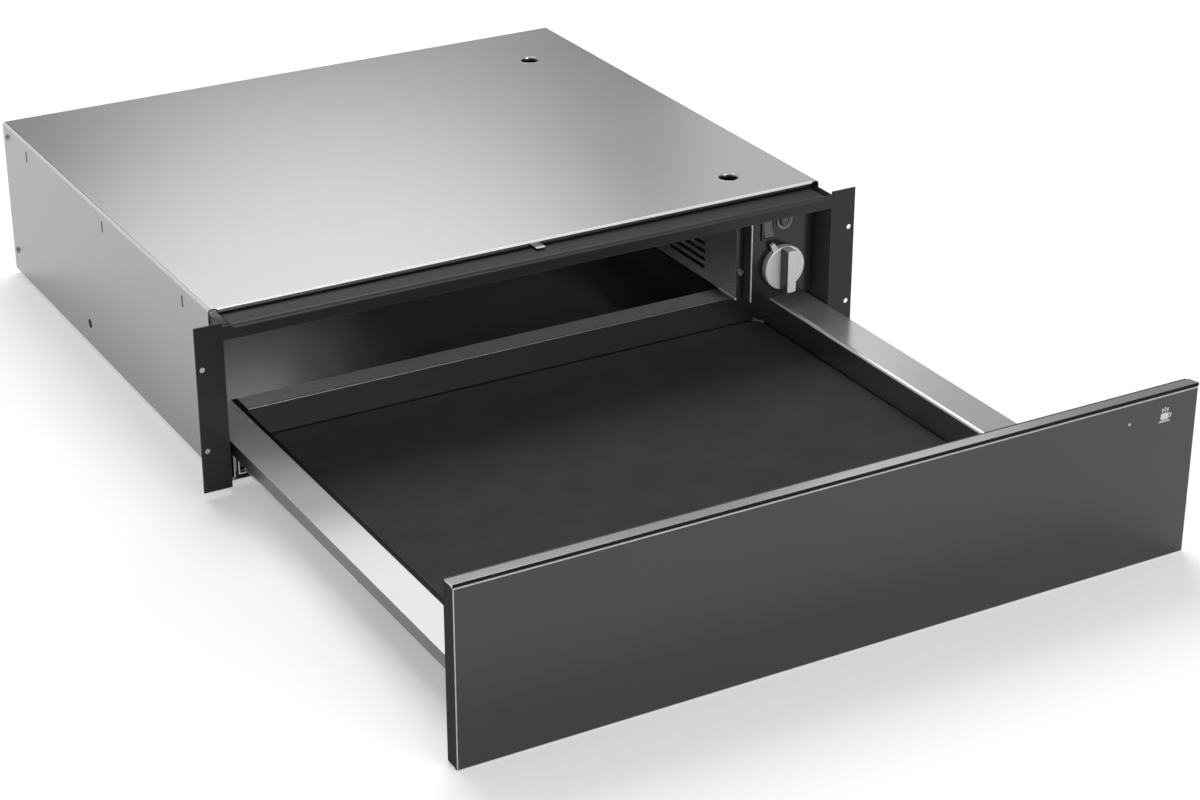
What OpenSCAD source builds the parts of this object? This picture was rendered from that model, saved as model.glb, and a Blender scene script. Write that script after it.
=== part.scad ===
// Built-in warming drawer, drawn with its drawer pulled out.
// X runs to the right as seen from the front, Y runs to the back, Z runs up, in millimetres.
// The origin is the middle of the base's front edge, in the plane where the mounting ears
// bear on the cabinet.

/* [Front panel] */
// How far the glass front stands out past each side of the housing
panel_overhang = 24; // [20:0.5:37]
// Top of the glass, below the top of the housing
panel_top_gap = 10.1; // [5:0.1:14]
// Thickness of the glass
glass_t = 4; // [3:0.5:6]
// How far the glass hangs below the base
panel_drop = 4.6; // [0:0.1:10]
// Depth of the folded steel tray behind the glass
backing_d = 10.3; // [9:0.1:20]
// Edge of the steel tray set in from the edge of the glass
backing_inset = 0.5; // [0.2:0.1:2]
// Height of the trim strip on top of the panel
trim_h = 2.6; // [1.5:0.1:6]
// Depth of the trim strip, from the glass face backwards
trim_d = 11.3; // [8:0.1:12]
// Gap between the top of the glass and the trim strip
trim_gap = 0.6; // [0.3:0.1:2]
// Gap between the panel and the mounting ears when the drawer is shut
panel_gap = 2; // [1.5:0.1:5]
// Radius of the small lamp window in the glass
status_r = 1.2; // [0.8:0.1:2]
// Lamp window, from the right edge of the glass
status_inset = 61.2; // [20:0.1:120]
// Lamp window, down from the top of the glass
status_drop = 15.7; // [8:0.1:40]

/* [Housing] */
// Width of the housing
housing_w = 546; // [540:1:560]
// Height of the housing
housing_h = 138.5; // [136:0.5:160]
// Mounting plane to the back of the housing
housing_d = 495.5; // [490:0.5:560]
// Thickness of the sheet steel
sheet_t = 1; // [0.8:0.1:1.2]
// The casing starts this far behind the mounting plane
setback = 22.4; // [16:0.1:26]
// Outside radius of the casing's long bends
bend_r = 2.5; // [2:0.1:5]
// Height of the lip along the casing's front edge
lip_h = 2.8; // [2:0.1:6]
// Width of the centring tongue on that lip
tongue_w = 8; // [4:0.5:16]
// Reach of the centring tongue
tongue_d = 8.5; // [1:0.5:12]
// Centring tongue, to the right of the middle
tongue_x = 5.5; // [0:0.5:20]
// Radius of the two holes in the top
top_hole_r = 9; // [5:0.5:12]
// Top holes, in from the right side of the housing
top_hole_inset = 61.7; // [30:0.1:68]
// Front one of the top holes, behind the mounting plane
top_hole_y = 66.1; // [50:0.1:120]
// Rear one of the top holes, in front of the back of the housing
top_hole_back = 77.9; // [50:0.1:200]
// Radius of the hole low in each side
side_hole_r = 4; // [2:0.5:5]
// Hole low in each side, behind the mounting plane
side_hole_y = 300.6; // [100:0.1:420]
// Front edge of the base at its corners, behind the mounting plane
base_setback = 8; // [4:0.5:16]
// Width of the base's corners that stay behind the mounting plane
base_corner_w = 33; // [31:1:73]
// Height of the base's side flanges
base_flange_h = 11; // [6:0.5:13]

/* [Front frame] */
// Width of each mounting ear beyond the housing
ear_w = 21.3; // [15:0.1:30]
// Top of the mounting ears, below the top of the housing
ear_top_gap = 2; // [0.5:0.5:18]
// Radius of the fixing holes
ear_hole_r = 2.1; // [2:0.1:3.5]
// Fixing holes, in from the ear's outer edge
ear_hole_inset = 5.1; // [4:0.1:9]
// Height of the lower fixing holes
ear_hole_z = 34.6; // [20:0.1:50]
// Height from the lower to the upper fixing holes
ear_hole_pitch = 67.3; // [40:0.1:80]
// Height of the front frame's top rail
rail_h = 11.5; // [8:0.1:14]
// Depth of the frame's side walls
return_d = 40; // [28:1:48]
// Depth of the top rail's ledge
ledge_d = 26; // [20:0.5:28]
// Depth of the flange under the top rail
rail_flange_d = 14; // [6:0.5:16]
// Width of the relief slot at each end of the rail
relief_w = 7; // [2:0.5:8]

/* [Drawer tray] */
// Gap behind the tray when the drawer is shut
tray_rear_gap = 10.5; // [9.5:0.5:20]
// Length of the tray that stays in the housing when the drawer is pulled out
tray_stay = 75; // [67:1:107]
// Gap between the tray's flanges and the frame's side walls
flange_gap = 2.5; // [1.5:0.1:4]
// Height of the tray's flanges above the base
flange_z = 36; // [35.2:0.1:40]
// Height of the underside of the tray floor
tray_z = 7; // [6.5:0.1:8]
// Width of the side flanges
flange_w = 33.5; // [32.5:0.1:34]
// Height of the lips along the flanges' outer edges
flange_lip_h = 10; // [4:0.5:10.5]
// Depth of the rear flange
rear_flange_d = 21.4; // [12:0.1:21.8]
// Thickness of the anti-slip mat
mat_t = 2; // [1:0.5:4]
// Mat set in from the tray walls
mat_inset = 1.5; // [0.5:0.1:4]

/* [Runners] */
// Gap behind the runners
runner_back_gap = 41.5; // [36.5:0.5:70]
// Front end of the shut runners, behind the mounting plane
runner_y = 3; // [2:0.5:12]
// Height of the runners
runner_h = 26; // [25:0.1:26.4]
// Thickness of the runners
runner_t = 12; // [11.8:0.1:12.2]
// Thickness of the runner steel
member_t = 1.2; // [1:0.1:1.3]
// Radius of the bearing balls
ball_r = 1.4; // [1.3:0.05:1.5]
// Clearance of the balls in their races
ball_gap = 0.2; // [0.1:0.05:0.25]
// Height of the runners' middle above the base
runner_z = 20; // [19.6:0.1:20.4]
// Ball cages, in from each end of the members' overlap
cage_spare = 7; // [4:1:60]
// Balls in each row of a cage
cage_balls = 6; // [3:1:12]

/* [Duct and fan] */
// Width of the duct along the right side
duct_w = 73.5; // [73:0.1:80]
// Gap between the shut tray's flanges and the duct
duct_gap = 7.5; // [4:0.1:8]
// Height of the heat shield above the rail's lower edge
shield_lift = 7; // [4:0.5:7.5]
// Thickness of the insulation
insulation_t = 6.6; // [4:0.1:6.9]
// Height of an air slot
slot_h = 3; // [2:0.1:4]
// Height from slot to slot
slot_pitch = 7; // [6:0.1:8]
// Length of an air slot
slot_l = 60; // [30:1:64]
// Slots above each other
slot_rows = 6; // [3:1:7]
// Front end of the front bank of slots, behind the mounting plane
slot_y = 80; // [72:1:88]
// Gap over the fan's scroll
fan_top_gap = 9; // [7:0.5:17]
// Middle of the fan, behind the mounting plane
fan_y = 215; // [205:1:260]
// Gap between the impeller and the scroll around it
impeller_side_gap = 10; // [9:0.5:16]
// Blades on the impeller
blades = 20; // [8:1:28]
// Radius of the fan's shaft
shaft_r = 2; // [1.5:0.1:3]
// Running clearance of the shafts, all round
run_gap = 0.05; // [0.02:0.01:0.1]
// Radius of the heating tube
heater_r = 3.2; // [2.5:0.1:3.6]
// Hairpins of heating tube
heater_loops = 3; // [1:1:3]

/* [Control panel] */
// Setback of the control panel behind the mounting plane
control_y = 18; // [17:0.1:24]
// Width of the control panel
control_w = 58.4; // [57:0.1:60]
// Control panel, in from the duct's inner wall
control_inset = 7.3; // [5:0.1:8]
// Depth of the control panel's folded edge
control_d = 12; // [12:0.5:16]
// Radius of the knob, as a share of the duct's height
knob_r_share = 0.245; // [0.2:0.001:0.25]
// Thickness of the knob's disc
knob_t = 5.4; // [3:0.1:6]
// Height of the knob's axis, as a share of the duct's height
knob_share = 0.355; // [0.335:0.001:0.37]
// Width of the knob's grip bar
grip_w = 8.8; // [5:0.1:11]
// Height of the knob's grip bar over the disc
grip_d = 11; // [6:0.1:11]
// How far the knob's pointer stands out past its rim
pointer_l = 5.3; // [2:0.1:5.5]
// Radius of the thermostat's spindle
spindle_r = 3; // [2.5:0.1:3.5]
// Width of the rocker
rocker_w = 8.5; // [6:0.1:9]
// Height of the rocker, as a share of the duct's height
rocker_h_share = 0.234; // [0.18:0.001:0.24]
// Tilt of the rocker to either side
rocker_tilt = 8; // [4:1:9]
// Radius of the pilot lamp's bezel, as a share of the duct's height
lamp_r_share = 0.096; // [0.076:0.001:0.099]

/* [Latch] */
// Width of the push latch
latch_w = 40; // [20:1:60]
// Height of the push latch
latch_h = 21; // [16:0.5:22]
// Radius of its plunger
plunger_r = 4; // [3:0.1:5]
// Travel of its plunger
plunger_travel = 3.8; // [2:0.1:4]
// Thickness of the striker on the tray
striker_t = 3; // [2:0.1:4]

/* [Mains inlet] */
// Radius of the gland's bore
gland_bore_r = 4.5; // [3:0.1:6]
// Height of the gland above the duct's lower edge
gland_up = 41.5; // [30:0.5:50]

/* [Hidden] */
$fn = 48;

// Overrun of every cut
cut = 1;
// Gap between a soft or loose piece and what it lies beside
loose_gap = 0.3;

// Housing
inner_x = housing_w / 2 - sheet_t;
roof_z = housing_h - sheet_t;
back_y = housing_d - sheet_t;
floor_z = sheet_t;
top_hole_ys = [top_hole_y, housing_d - top_hole_back];
base_tongue_x = housing_w / 2 - base_corner_w;

// Front frame
ear_h = housing_h - ear_top_gap;
ear_x = housing_w / 2 + ear_w;
ear_hole_x = ear_x - ear_hole_inset;
return_x = inner_x - sheet_t;
rail_gap = 1.2;
rail_top_z = roof_z - lip_h - rail_gap;
rail_z = rail_top_z - rail_h;

// Drawer, pulled out by its whole travel
shut_y = -sheet_t - panel_gap;
tray_l = back_y - tray_rear_gap - shut_y;
travel = tray_l - tray_stay;
panel_y = shut_y - travel;
glass_back_y = panel_y - backing_d;
glass_y = glass_back_y - glass_t;
glass_x = housing_w / 2 + panel_overhang;
glass_z = -panel_drop;
glass_top_z = housing_h - panel_top_gap;
glass_h = glass_top_z - glass_z;
trim_z = glass_top_z + trim_gap;
backing_x = glass_x - backing_inset;
backing_z = glass_z + backing_inset;
flange_x = return_x - flange_gap;
tray_w = 2 * (flange_x - flange_w);
wall_x = tray_w / 2 + sheet_t;
flange_low_z = flange_z - sheet_t;
tray_floor_z = tray_z + sheet_t;
tray_end_y = panel_y + tray_l;
tray_back_y = tray_end_y - rear_flange_d;

// Runners: outer, middle and inner members with a cage of balls in each space
race = 2 * (ball_r + ball_gap);
bracket_x = return_x - 6 * sheet_t;
outer_x = bracket_x - sheet_t;
runner_in_x = outer_x - runner_t;
outer_h = runner_h;
middle_h = outer_h - 2 * member_t - 2 * race;
inner_h = middle_h - 2 * member_t - 2 * race;
cage_space = 2.1;
middle_x = outer_x - member_t - cage_space;
cage_t = 0.6;
member_reach = 2.5;
outer_cage_x = (middle_x + outer_x - member_t + cage_t) / 2;
inner_cage_gap = 0.7;
inner_cage_x = middle_x - member_t - inner_cage_gap;
inner_reach_gap = 1.2;
inner_reach_x = inner_cage_x - cage_t - inner_reach_gap;
runner_l = back_y - runner_back_gap - runner_y;
middle_move = travel / 2;
cage_l = runner_l - middle_move - 2 * cage_spare;

// Duct, behind and below the control panel
duct_x = inner_x - duct_w;
duct_z = flange_z + duct_gap;
duct_y = control_y + control_d;
duct_floor_z = duct_z + sheet_t;
duct_h = rail_z - duct_z;
duct_flange_w = 13.5;
shield_z = rail_z + shield_lift;
shield_top_z = shield_z + sheet_t;
rib_t = 1.2;
rib_y_shares = [0.112, 0.48, 0.872];
rib_slot_gap = 1;

// Fan
scroll_r = (roof_z - duct_floor_z - fan_top_gap) / 2;
fan_z = duct_floor_z + scroll_r;
impeller_r = scroll_r - impeller_side_gap;
scroll_gap = 3.5;
scroll_x = duct_x + sheet_t + scroll_gap;
scroll_w = 33;
scroll_back_x = scroll_x + scroll_w;
outlet_l = 70;
outlet_h = 26;
eye_r = 0.75 * impeller_r;
impeller_gap = 4;
impeller_x = scroll_x + impeller_gap;
impeller_w = 23;
hub_r = 3 * shaft_r;
blade_t = 1;
motor_boss_r = 9;
motor_boss_l = 5;
motor_stack_l = 16;
motor_x = scroll_back_x + motor_boss_l;
motor_end_x = motor_x + motor_stack_l + motor_boss_l;
motor_hw = scroll_r * 4 / 7;
coil_hw = 12;
coil_h = scroll_r / 3;

// Heating element
heater_plate_gap = 8;
heater_plate_x = inner_x - heater_plate_gap;
heater_plate_t = 1.2;
heater_bend_r = 8;
heater_tip_gap = 4.3;
heater_tip_x = duct_x + sheet_t + heater_tip_gap + heater_bend_r + heater_r;
heater_inset = 12;
heater_y = slot_y + heater_inset;
heater_pitch = 18;
heater_up = 31.5;
heater_z = duct_floor_z + heater_up;
heater_tail = 2.8;
pin_r = 1.2;
pin_l = 3;

// Control panel
control_x = duct_x + control_inset;
control_end_x = control_x + control_w;
control_overlap = 4;
control_top_z = rail_z + control_overlap;
knob_x = control_x + control_w / 2;
knob_z = duct_z + knob_share * duct_h;
knob_r = knob_r_share * duct_h;
knob_gap = 0.6;
disc_y = control_y - knob_gap - knob_t;
grip_y = disc_y - grip_d;
spindle_cover = 4;
spindle_start_y = grip_y + spindle_cover;
thermostat_hw = 18;
thermostat_hh = 17;
thermostat_d = 26;
spindle_l = 31;
socket_l = 20;
rocker_in = 15;
rocker_share = 0.832;
rocker_x = control_x + rocker_in;
rocker_z = duct_z + rocker_share * duct_h;
rocker_h = rocker_h_share * duct_h;
rocker_play = 0.6;
rocker_side_gap = 0.25;
switch_wall = 0.8;
bezel_w = 1.2;
bezel_t = 1.5;
switch_d = 20;
rocker_pit_d = 10;
rocker_depth = 2;
rocker_axis_y = control_y + rocker_depth;
lamp_in = 30.8;
lamp_share = 0.869;
lamp_x = control_x + lamp_in;
lamp_z = duct_z + lamp_share * duct_h;
lamp_r = lamp_r_share * duct_h;
lens_r = 0.74 * lamp_r;
lamp_body_r = 0.85 * lamp_r;
lamp_body_l = 16;

// Latch
latch_d = 23.5;
latch_up = 11;
latch_y = back_y - latch_d;
latch_z = floor_z + latch_up;
latch_wall = 4;
striker_y = tray_back_y + sheet_t;
plunger_y = striker_y + striker_t + travel + loose_gap;

// Mains inlet
gland_x = knob_x;
gland_z = duct_z + gland_up;
gland_body_r = 9.8;
gland_nut_r = 13;
gland_nut_l = 6.5;
gland_dome_r = 11;
gland_dome_l = 14;
gland_inside_l = 14;

// Screws
screw_r = 1.9;
screw_gap = 0.15;
head_r = 2.8;
head_h = 2;
recess_w = 0.9;
recess_l = 3.6;
recess_d = 1;

// Box between two values on each axis
module block(x, y, z) {
    translate([x[0], y[0], z[0]])
        cube([x[1] - x[0], y[1] - y[0], z[1] - z[0]]);
}

// Box that is centred on X and reaches hx to either side
module centred_block(hx, y, z) {
    block([-hx, hx], y, z);
}

// Round bar along X, from one x to the other
module bar_x(x, y, z, r) {
    translate([x[0], y, z]) rotate([0, 90, 0]) cylinder(h = x[1] - x[0], r = r);
}

// Round bar along Y, from one y to the other
module bar_y(x, y, z, r) {
    translate([x, y[0], z]) rotate([-90, 0, 0]) cylinder(h = y[1] - y[0], r = r);
}

// Round bar along Z, from one z to the other
module bar_z(x, y, z, r) {
    translate([x, y, z[0]]) cylinder(h = z[1] - z[0], r = r);
}

// Quarter bend of round bar in the XY plane, about the origin, from +X round to +Y
module quarter_bend(bend, r) {
    rotate_extrude(angle = 90) translate([bend, 0]) circle(r = r);
}

// Left-hand piece, from the shape of the right-hand one
module on_left() {
    mirror([1, 0, 0]) children();
}

// Both hands of a shape
module both_sides() {
    children();
    on_left() children();
}

// Pan-head screw: the head's underside is at the origin and the shank runs along +Z
module screw(length) {
    cylinder(h = length, r = screw_r);
    difference() {
        translate([0, 0, -head_h]) cylinder(h = head_h, r = head_r);
        for (turn = [0, 90])
            rotate([0, 0, turn])
                block([-recess_l / 2, recess_l / 2], [-recess_w / 2, recess_w / 2],
                      [-head_h - cut, -head_h + recess_d]);
    }
}

// Upright outline with rounded upper corners, standing on the X axis
module arch(w, h, r) {
    translate([-w / 2, 0]) square([w, h - r]);
    translate([-w / 2 + r, 0]) square([w - 2 * r, h]);
    for (side = [-1, 1])
        translate([side * (w / 2 - r), h - r]) circle(r = r);
}

// Outer shell, bent from one sheet: both sides and the top, with a lip along the front
module casing() {
    color([0.72, 0.72, 0.72])
    difference() {
        union() {
            translate([0, housing_d, 0]) rotate([90, 0, 0])
                linear_extrude(height = housing_d - setback)
                    difference() {
                        arch(housing_w, housing_h, bend_r);
                        translate([0, -cut])
                            arch(2 * inner_x, roof_z + cut, bend_r - sheet_t);
                    }
            centred_block(housing_w / 2 - relief_w, [setback, setback + sheet_t],
                          [roof_z - lip_h, housing_h]);
            block([tongue_x - tongue_w / 2, tongue_x + tongue_w / 2],
                  [setback - tongue_d, setback + sheet_t],
                  [roof_z - lip_h - sheet_t / 2, roof_z - lip_h + sheet_t / 2]);
        }
        for (y = top_hole_ys)
            bar_z(housing_w / 2 - top_hole_inset, y, [roof_z - cut, housing_h + cut],
                  top_hole_r);
        bar_x([-housing_w / 2 - cut, housing_w / 2 + cut], side_hole_y, runner_z,
              side_hole_r);
        for (share = rib_y_shares)
            rib_slot(share);
        rear_screw_holes();
    }
}

// Slot in the casing's left side for the tab of one cross rib
module rib_slot(share) {
    y = rib_y(share);
    block([-housing_w / 2 - cut, -inner_x + cut],
          [y - rib_t / 2 - rib_slot_gap, y + rib_t / 2 + rib_slot_gap],
          [rail_z - rib_slot_gap, shield_top_z]);
}

// Place of a cross rib, as a share of the casing's depth
function rib_y(share) = setback + share * (housing_d - setback);

// Base, with a tongue to the front, a low lip there and flanges inside the casing
module base_pan() {
    color([0.68, 0.68, 0.69]) {
        centred_block(inner_x, [base_setback, housing_d], [0, floor_z]);
        centred_block(base_tongue_x, [-sheet_t, base_setback], [0, floor_z]);
        centred_block(base_tongue_x, [-sheet_t, 0], [floor_z, floor_z + 4 * sheet_t]);
        both_sides()
            block([return_x, inner_x], [return_d, back_y - rear_flange_depth],
                  [floor_z, floor_z + base_flange_h]);
    }
}

// Depth of the rear panel's flanges
rear_flange_depth = 14.5;
rear_flange_z = floor_z + 1.2 * base_flange_h;

// Back wall, with flanges inside the casing, a bank of vents and the hole for the inlet
vent_count = 14;
vent_w = 3;
vent_h = 42;
vent_pitch = 9;
module rear_panel() {
    color([0.66, 0.66, 0.67])
    difference() {
        union() {
            translate([0, housing_d, floor_z]) rotate([90, 0, 0])
                linear_extrude(height = sheet_t)
                    arch(2 * inner_x, roof_z - floor_z, bend_r - sheet_t);
            both_sides()
                block([return_x, inner_x], [back_y - rear_flange_depth, back_y],
                      [rear_flange_z, roof_z - bend_r]);
        }
        bar_y(gland_x, [back_y - cut, housing_d + cut], gland_z, gland_body_r + screw_gap);
        for (i = [0 : vent_count - 1])
            block([-inner_x / 2 + i * vent_pitch, -inner_x / 2 + i * vent_pitch + vent_w],
                  [back_y - cut, housing_d + cut],
                  [roof_z / 2 - vent_h / 2, roof_z / 2 + vent_h / 2]);
        rear_screw_holes();
    }
}

// Screws through the casing's sides into the rear panel's flanges
rear_screw_y = back_y - rear_flange_depth / 2;
rear_screw_l = 7;
rear_screw_zs = [rear_flange_z + 2 * head_r, roof_z - bend_r - 3 * head_r];
module rear_screw_holes() {
    for (z = rear_screw_zs)
        both_sides()
            bar_x([return_x - cut, housing_w / 2 + cut], rear_screw_y, z,
                  screw_r + screw_gap);
}

module rear_screws() {
    color([0.3, 0.3, 0.31])
    for (z = rear_screw_zs)
        both_sides()
            translate([housing_w / 2, rear_screw_y, z]) rotate([0, -90, 0])
                screw(rear_screw_l);
}

// Dark front frame: mounting ears, side walls and the rail over the opening
module front_frame() {
    color([0.2, 0.2, 0.21])
    difference() {
        union() {
            both_sides() {
                block([return_x, ear_x], [-sheet_t, 0], [0, ear_h]);
                block([return_x, inner_x], [0, return_d], [floor_z, rail_top_z]);
            }
            centred_block(return_x, [-sheet_t, 0], [rail_z, rail_top_z]);
            centred_block(return_x - relief_w, [0, ledge_d],
                          [rail_top_z - sheet_t, rail_top_z]);
            centred_block(return_x - relief_w, [0, rail_flange_d],
                          [rail_z, rail_z + sheet_t]);
        }
        both_sides()
            for (z = [ear_hole_z, ear_hole_z + ear_hole_pitch])
                bar_y(ear_hole_x, [-sheet_t - cut, cut], z, ear_hole_r);
    }
}

// Plate that closes the heated space at the top
shield_y = return_d + sheet_t;
shield_end_y = back_y - rear_flange_depth;
module heat_shield() {
    color([0.6, 0.6, 0.61])
        block([-inner_x, duct_x], [shield_y, shield_end_y], [shield_z, shield_top_z]);
}

// Cross ribs under the shield, with tabs that hook into slots in the casing
module shield_ribs() {
    color([0.55, 0.55, 0.56])
    for (share = rib_y_shares)
        block([-housing_w / 2, duct_x],
              [rib_y(share) - rib_t / 2, rib_y(share) + rib_t / 2], [rail_z, shield_z]);
}

// Blanket of insulation over the shield
insulation_inset = 4;
module insulation_mat() {
    color([0.85, 0.83, 0.76])
        block([-inner_x + insulation_inset, duct_x - insulation_inset],
              [shield_y + insulation_inset, shield_end_y - insulation_inset],
              [shield_top_z, shield_top_z + insulation_t]);
}

// Wall between the duct and the heated space, with two banks of air slots
duct_screw_in = 3.5;
duct_screw_up = 24;
duct_screw_down = 4;
duct_screw_x = duct_x + duct_screw_in;
duct_screw_zs = [duct_z + duct_screw_up, rail_z - duct_screw_down];
duct_screw_l = 8;
slot_up = 9.3;
slot_z = duct_z + slot_up;
module duct_wall() {
    color([0.62, 0.62, 0.63])
    difference() {
        union() {
            block([duct_x, duct_x + sheet_t], [duct_y, back_y], [duct_z, roof_z]);
            block([duct_x + sheet_t, duct_x + duct_flange_w], [duct_y, duct_y + sheet_t],
                  [duct_z, shield_z]);
        }
        for (bank = [slot_y, fan_y - slot_l / 2])
            for (i = [0 : slot_rows - 1])
                block([duct_x - cut, duct_x + sheet_t + cut], [bank, bank + slot_l],
                      [slot_z + i * slot_pitch, slot_z + i * slot_pitch + slot_h]);
        for (z = duct_screw_zs)
            bar_y(duct_screw_x, [duct_y - cut, duct_y + sheet_t + cut], z,
                  screw_r + screw_gap);
    }
}

module duct_screws() {
    color([0.75, 0.75, 0.76])
    for (z = duct_screw_zs)
        translate([duct_screw_x, duct_y, z]) rotate([-90, 0, 0]) screw(duct_screw_l);
}

// Floor of the duct
module duct_floor() {
    color([0.58, 0.58, 0.59])
        block([duct_x + sheet_t, return_x], [duct_y + sheet_t, back_y],
              [duct_z, duct_floor_z]);
}

// Folded control panel, open at the back, with its cut-outs
module control_panel() {
    plate_y = control_y + sheet_t;
    color([0.6, 0.6, 0.6])
    difference() {
        union() {
            block([control_x, control_end_x], [control_y, plate_y],
                  [duct_z, control_top_z]);
            block([control_x, control_x + sheet_t], [plate_y, duct_y],
                  [duct_z, control_top_z]);
            block([control_end_x - sheet_t, control_end_x], [plate_y, duct_y],
                  [duct_z, control_top_z]);
            block([control_end_x, return_x], [duct_y - sheet_t, duct_y],
                  [duct_z, control_top_z]);
            block([control_x, control_end_x], [plate_y, duct_y], [duct_z, duct_floor_z]);
        }
        bar_y(knob_x, [control_y - cut, plate_y + cut], knob_z, spindle_r + 4 * screw_gap);
        bar_y(lamp_x, [control_y - cut, plate_y + cut], lamp_z, lamp_body_r + screw_gap);
        switch_cutout([control_y - cut, plate_y + cut]);
    }
}

// Opening for the switch body
switch_hx = rocker_w / 2 + rocker_side_gap + switch_wall;
switch_hz = rocker_h / 2 + rocker_play + switch_wall;
module switch_cutout(y) {
    block([rocker_x - switch_hx - screw_gap, rocker_x + switch_hx + screw_gap], y,
          [rocker_z - switch_hz - screw_gap, rocker_z + switch_hz + screw_gap]);
}

// Thermostat behind the panel, with a socket for its spindle and three tabs
tab_w = 6;
tab_t = 0.8;
tab_l = 8;
tab_pitch = 10;
module thermostat() {
    start_y = control_y + sheet_t;
    end_y = start_y + thermostat_d;
    color([0.86, 0.84, 0.78])
    difference() {
        union() {
            block([knob_x - thermostat_hw, knob_x + thermostat_hw], [start_y, end_y],
                  [knob_z - thermostat_hh, knob_z + thermostat_hh]);
            for (i = [-1 : 1])
                block([knob_x + i * tab_pitch - tab_w / 2, knob_x + i * tab_pitch + tab_w / 2],
                      [end_y, end_y + tab_l],
                      [knob_z - tab_pitch, knob_z - tab_pitch + tab_t]);
        }
        bar_y(knob_x, [start_y - cut, start_y + socket_l], knob_z, spindle_r + run_gap);
    }
}

// Spindle from the thermostat into the knob
module thermostat_spindle() {
    color([0.75, 0.75, 0.76])
        bar_y(knob_x, [spindle_start_y, spindle_start_y + spindle_l], knob_z, spindle_r);
}

// Knob: disc, pointer and a straight grip bar
pointer_w = 5;
pointer_inset = 1.2;
pointer_turn = 28;
grip_inset = 0.4;
fit_gap = 0.02;
module knob() {
    color([0.78, 0.78, 0.78])
    difference() {
        union() {
            bar_y(knob_x, [disc_y, disc_y + knob_t], knob_z, knob_r);
            translate([knob_x, 0, knob_z]) rotate([0, -pointer_turn, 0])
                block([-pointer_w / 2, pointer_w / 2],
                      [disc_y + pointer_inset, disc_y + knob_t - pointer_inset],
                      [knob_r / 2, knob_r + pointer_l]);
            intersection() {
                block([knob_x - grip_w / 2, knob_x + grip_w / 2],
                      [grip_y, disc_y + knob_t / 2],
                      [knob_z - knob_r, knob_z + knob_r]);
                bar_y(knob_x, [grip_y, disc_y + knob_t / 2], knob_z, knob_r - grip_inset);
            }
        }
        bar_y(knob_x, [spindle_start_y - fit_gap, disc_y + knob_t + cut], knob_z,
              spindle_r + fit_gap);
    }
}

// Body of the rocker switch, with a pit that the rocker tilts in
module switch_body() {
    front_y = control_y - bezel_t;
    end_y = control_y + switch_d;
    hx = switch_hx + bezel_w;
    hz = switch_hz + bezel_w;
    color([0.1, 0.1, 0.1])
    difference() {
        union() {
            block([rocker_x - hx, rocker_x + hx], [front_y, control_y],
                  [rocker_z - hz, rocker_z + hz]);
            block([rocker_x - switch_hx, rocker_x + switch_hx], [control_y, end_y],
                  [rocker_z - switch_hz, rocker_z + switch_hz]);
            for (i = [-1, 1])
                block([rocker_x - tab_w / 2, rocker_x + tab_w / 2], [end_y, end_y + tab_l],
                      [rocker_z + i * tab_w - tab_t, rocker_z + i * tab_w]);
        }
        block([rocker_x - switch_hx + switch_wall, rocker_x + switch_hx - switch_wall],
              [front_y - cut, control_y + rocker_pit_d],
              [rocker_z - switch_hz + switch_wall, rocker_z + switch_hz - switch_wall]);
        bar_x([rocker_x - switch_hx - cut, rocker_x + switch_hx + cut], rocker_axis_y,
              rocker_z, pivot_r + run_gap);
    }
}

// Rocker on its two pivot pins, pressed at its upper half
pivot_r = 1.1;
rocker_front = 3.6;
rocker_dip = 2.6;
rocker_back = 2;
module rocker() {
    half = rocker_h / 2;
    color([0.33, 0.33, 0.33])
    translate([rocker_x, rocker_axis_y, rocker_z]) rotate([-rocker_tilt, 0, 0])
        rotate([90, 0, 90]) translate([0, 0, -rocker_w / 2])
            linear_extrude(height = rocker_w)
                polygon([
                    [-rocker_front, -half], [-rocker_dip, 0], [-rocker_front, half],
                    [0, half], [rocker_back, 0], [0, -half]
                ]);
    color([0.33, 0.33, 0.33])
        bar_x([rocker_x - switch_hx + switch_wall / 2, rocker_x + switch_hx - switch_wall / 2],
              rocker_axis_y, rocker_z, pivot_r);
}

// Pilot lamp: bezel and body
module pilot_lamp() {
    color([0.45, 0.45, 0.45])
    difference() {
        union() {
            bar_y(lamp_x, [control_y - bezel_t, control_y], lamp_z, lamp_r);
            bar_y(lamp_x, [control_y, control_y + lamp_body_l], lamp_z, lamp_body_r);
        }
        bar_y(lamp_x, [control_y - bezel_t - cut, control_y + bezel_t], lamp_z,
              lens_r + fit_gap);
    }
}

// Domed lens in the bezel
module lamp_lens() {
    dome_r = 2 * lens_r;
    color([0.9, 0.45, 0.2])
    intersection() {
        bar_y(lamp_x, [control_y - 2 * bezel_t, control_y + bezel_t], lamp_z, lens_r);
        translate([lamp_x, control_y - 1.8 * bezel_t + dome_r, lamp_z])
            sphere(r = dome_r, $fn = 96);
    }
}

// Bulb that senses the air, held by two clips on the duct wall
bulb_r = 3;
bulb_gap = 5;
bulb_x = duct_x + sheet_t + bulb_gap;
bulb_l = 50;
bulb_inset = 4;
bulb_up = 8;
bulb_y = slot_y + bulb_inset;
bulb_z = slot_z + slot_rows * slot_pitch + bulb_up;
clip_t = 1;
clip_r = bulb_r + clip_t;
module sensor_bulb() {
    color([0.8, 0.5, 0.3]) {
        bar_y(bulb_x, [bulb_y, bulb_y + bulb_l], bulb_z, bulb_r);
        for (share = [0.2, 0.8]) {
            y = bulb_y + share * bulb_l;
            bar_y(bulb_x, [y, y + 4 * clip_t], bulb_z, clip_r);
            block([duct_x + sheet_t, bulb_x], [y, y + 4 * clip_t],
                  [bulb_z - clip_t / 2, bulb_z + clip_t / 2]);
        }
    }
}

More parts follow.
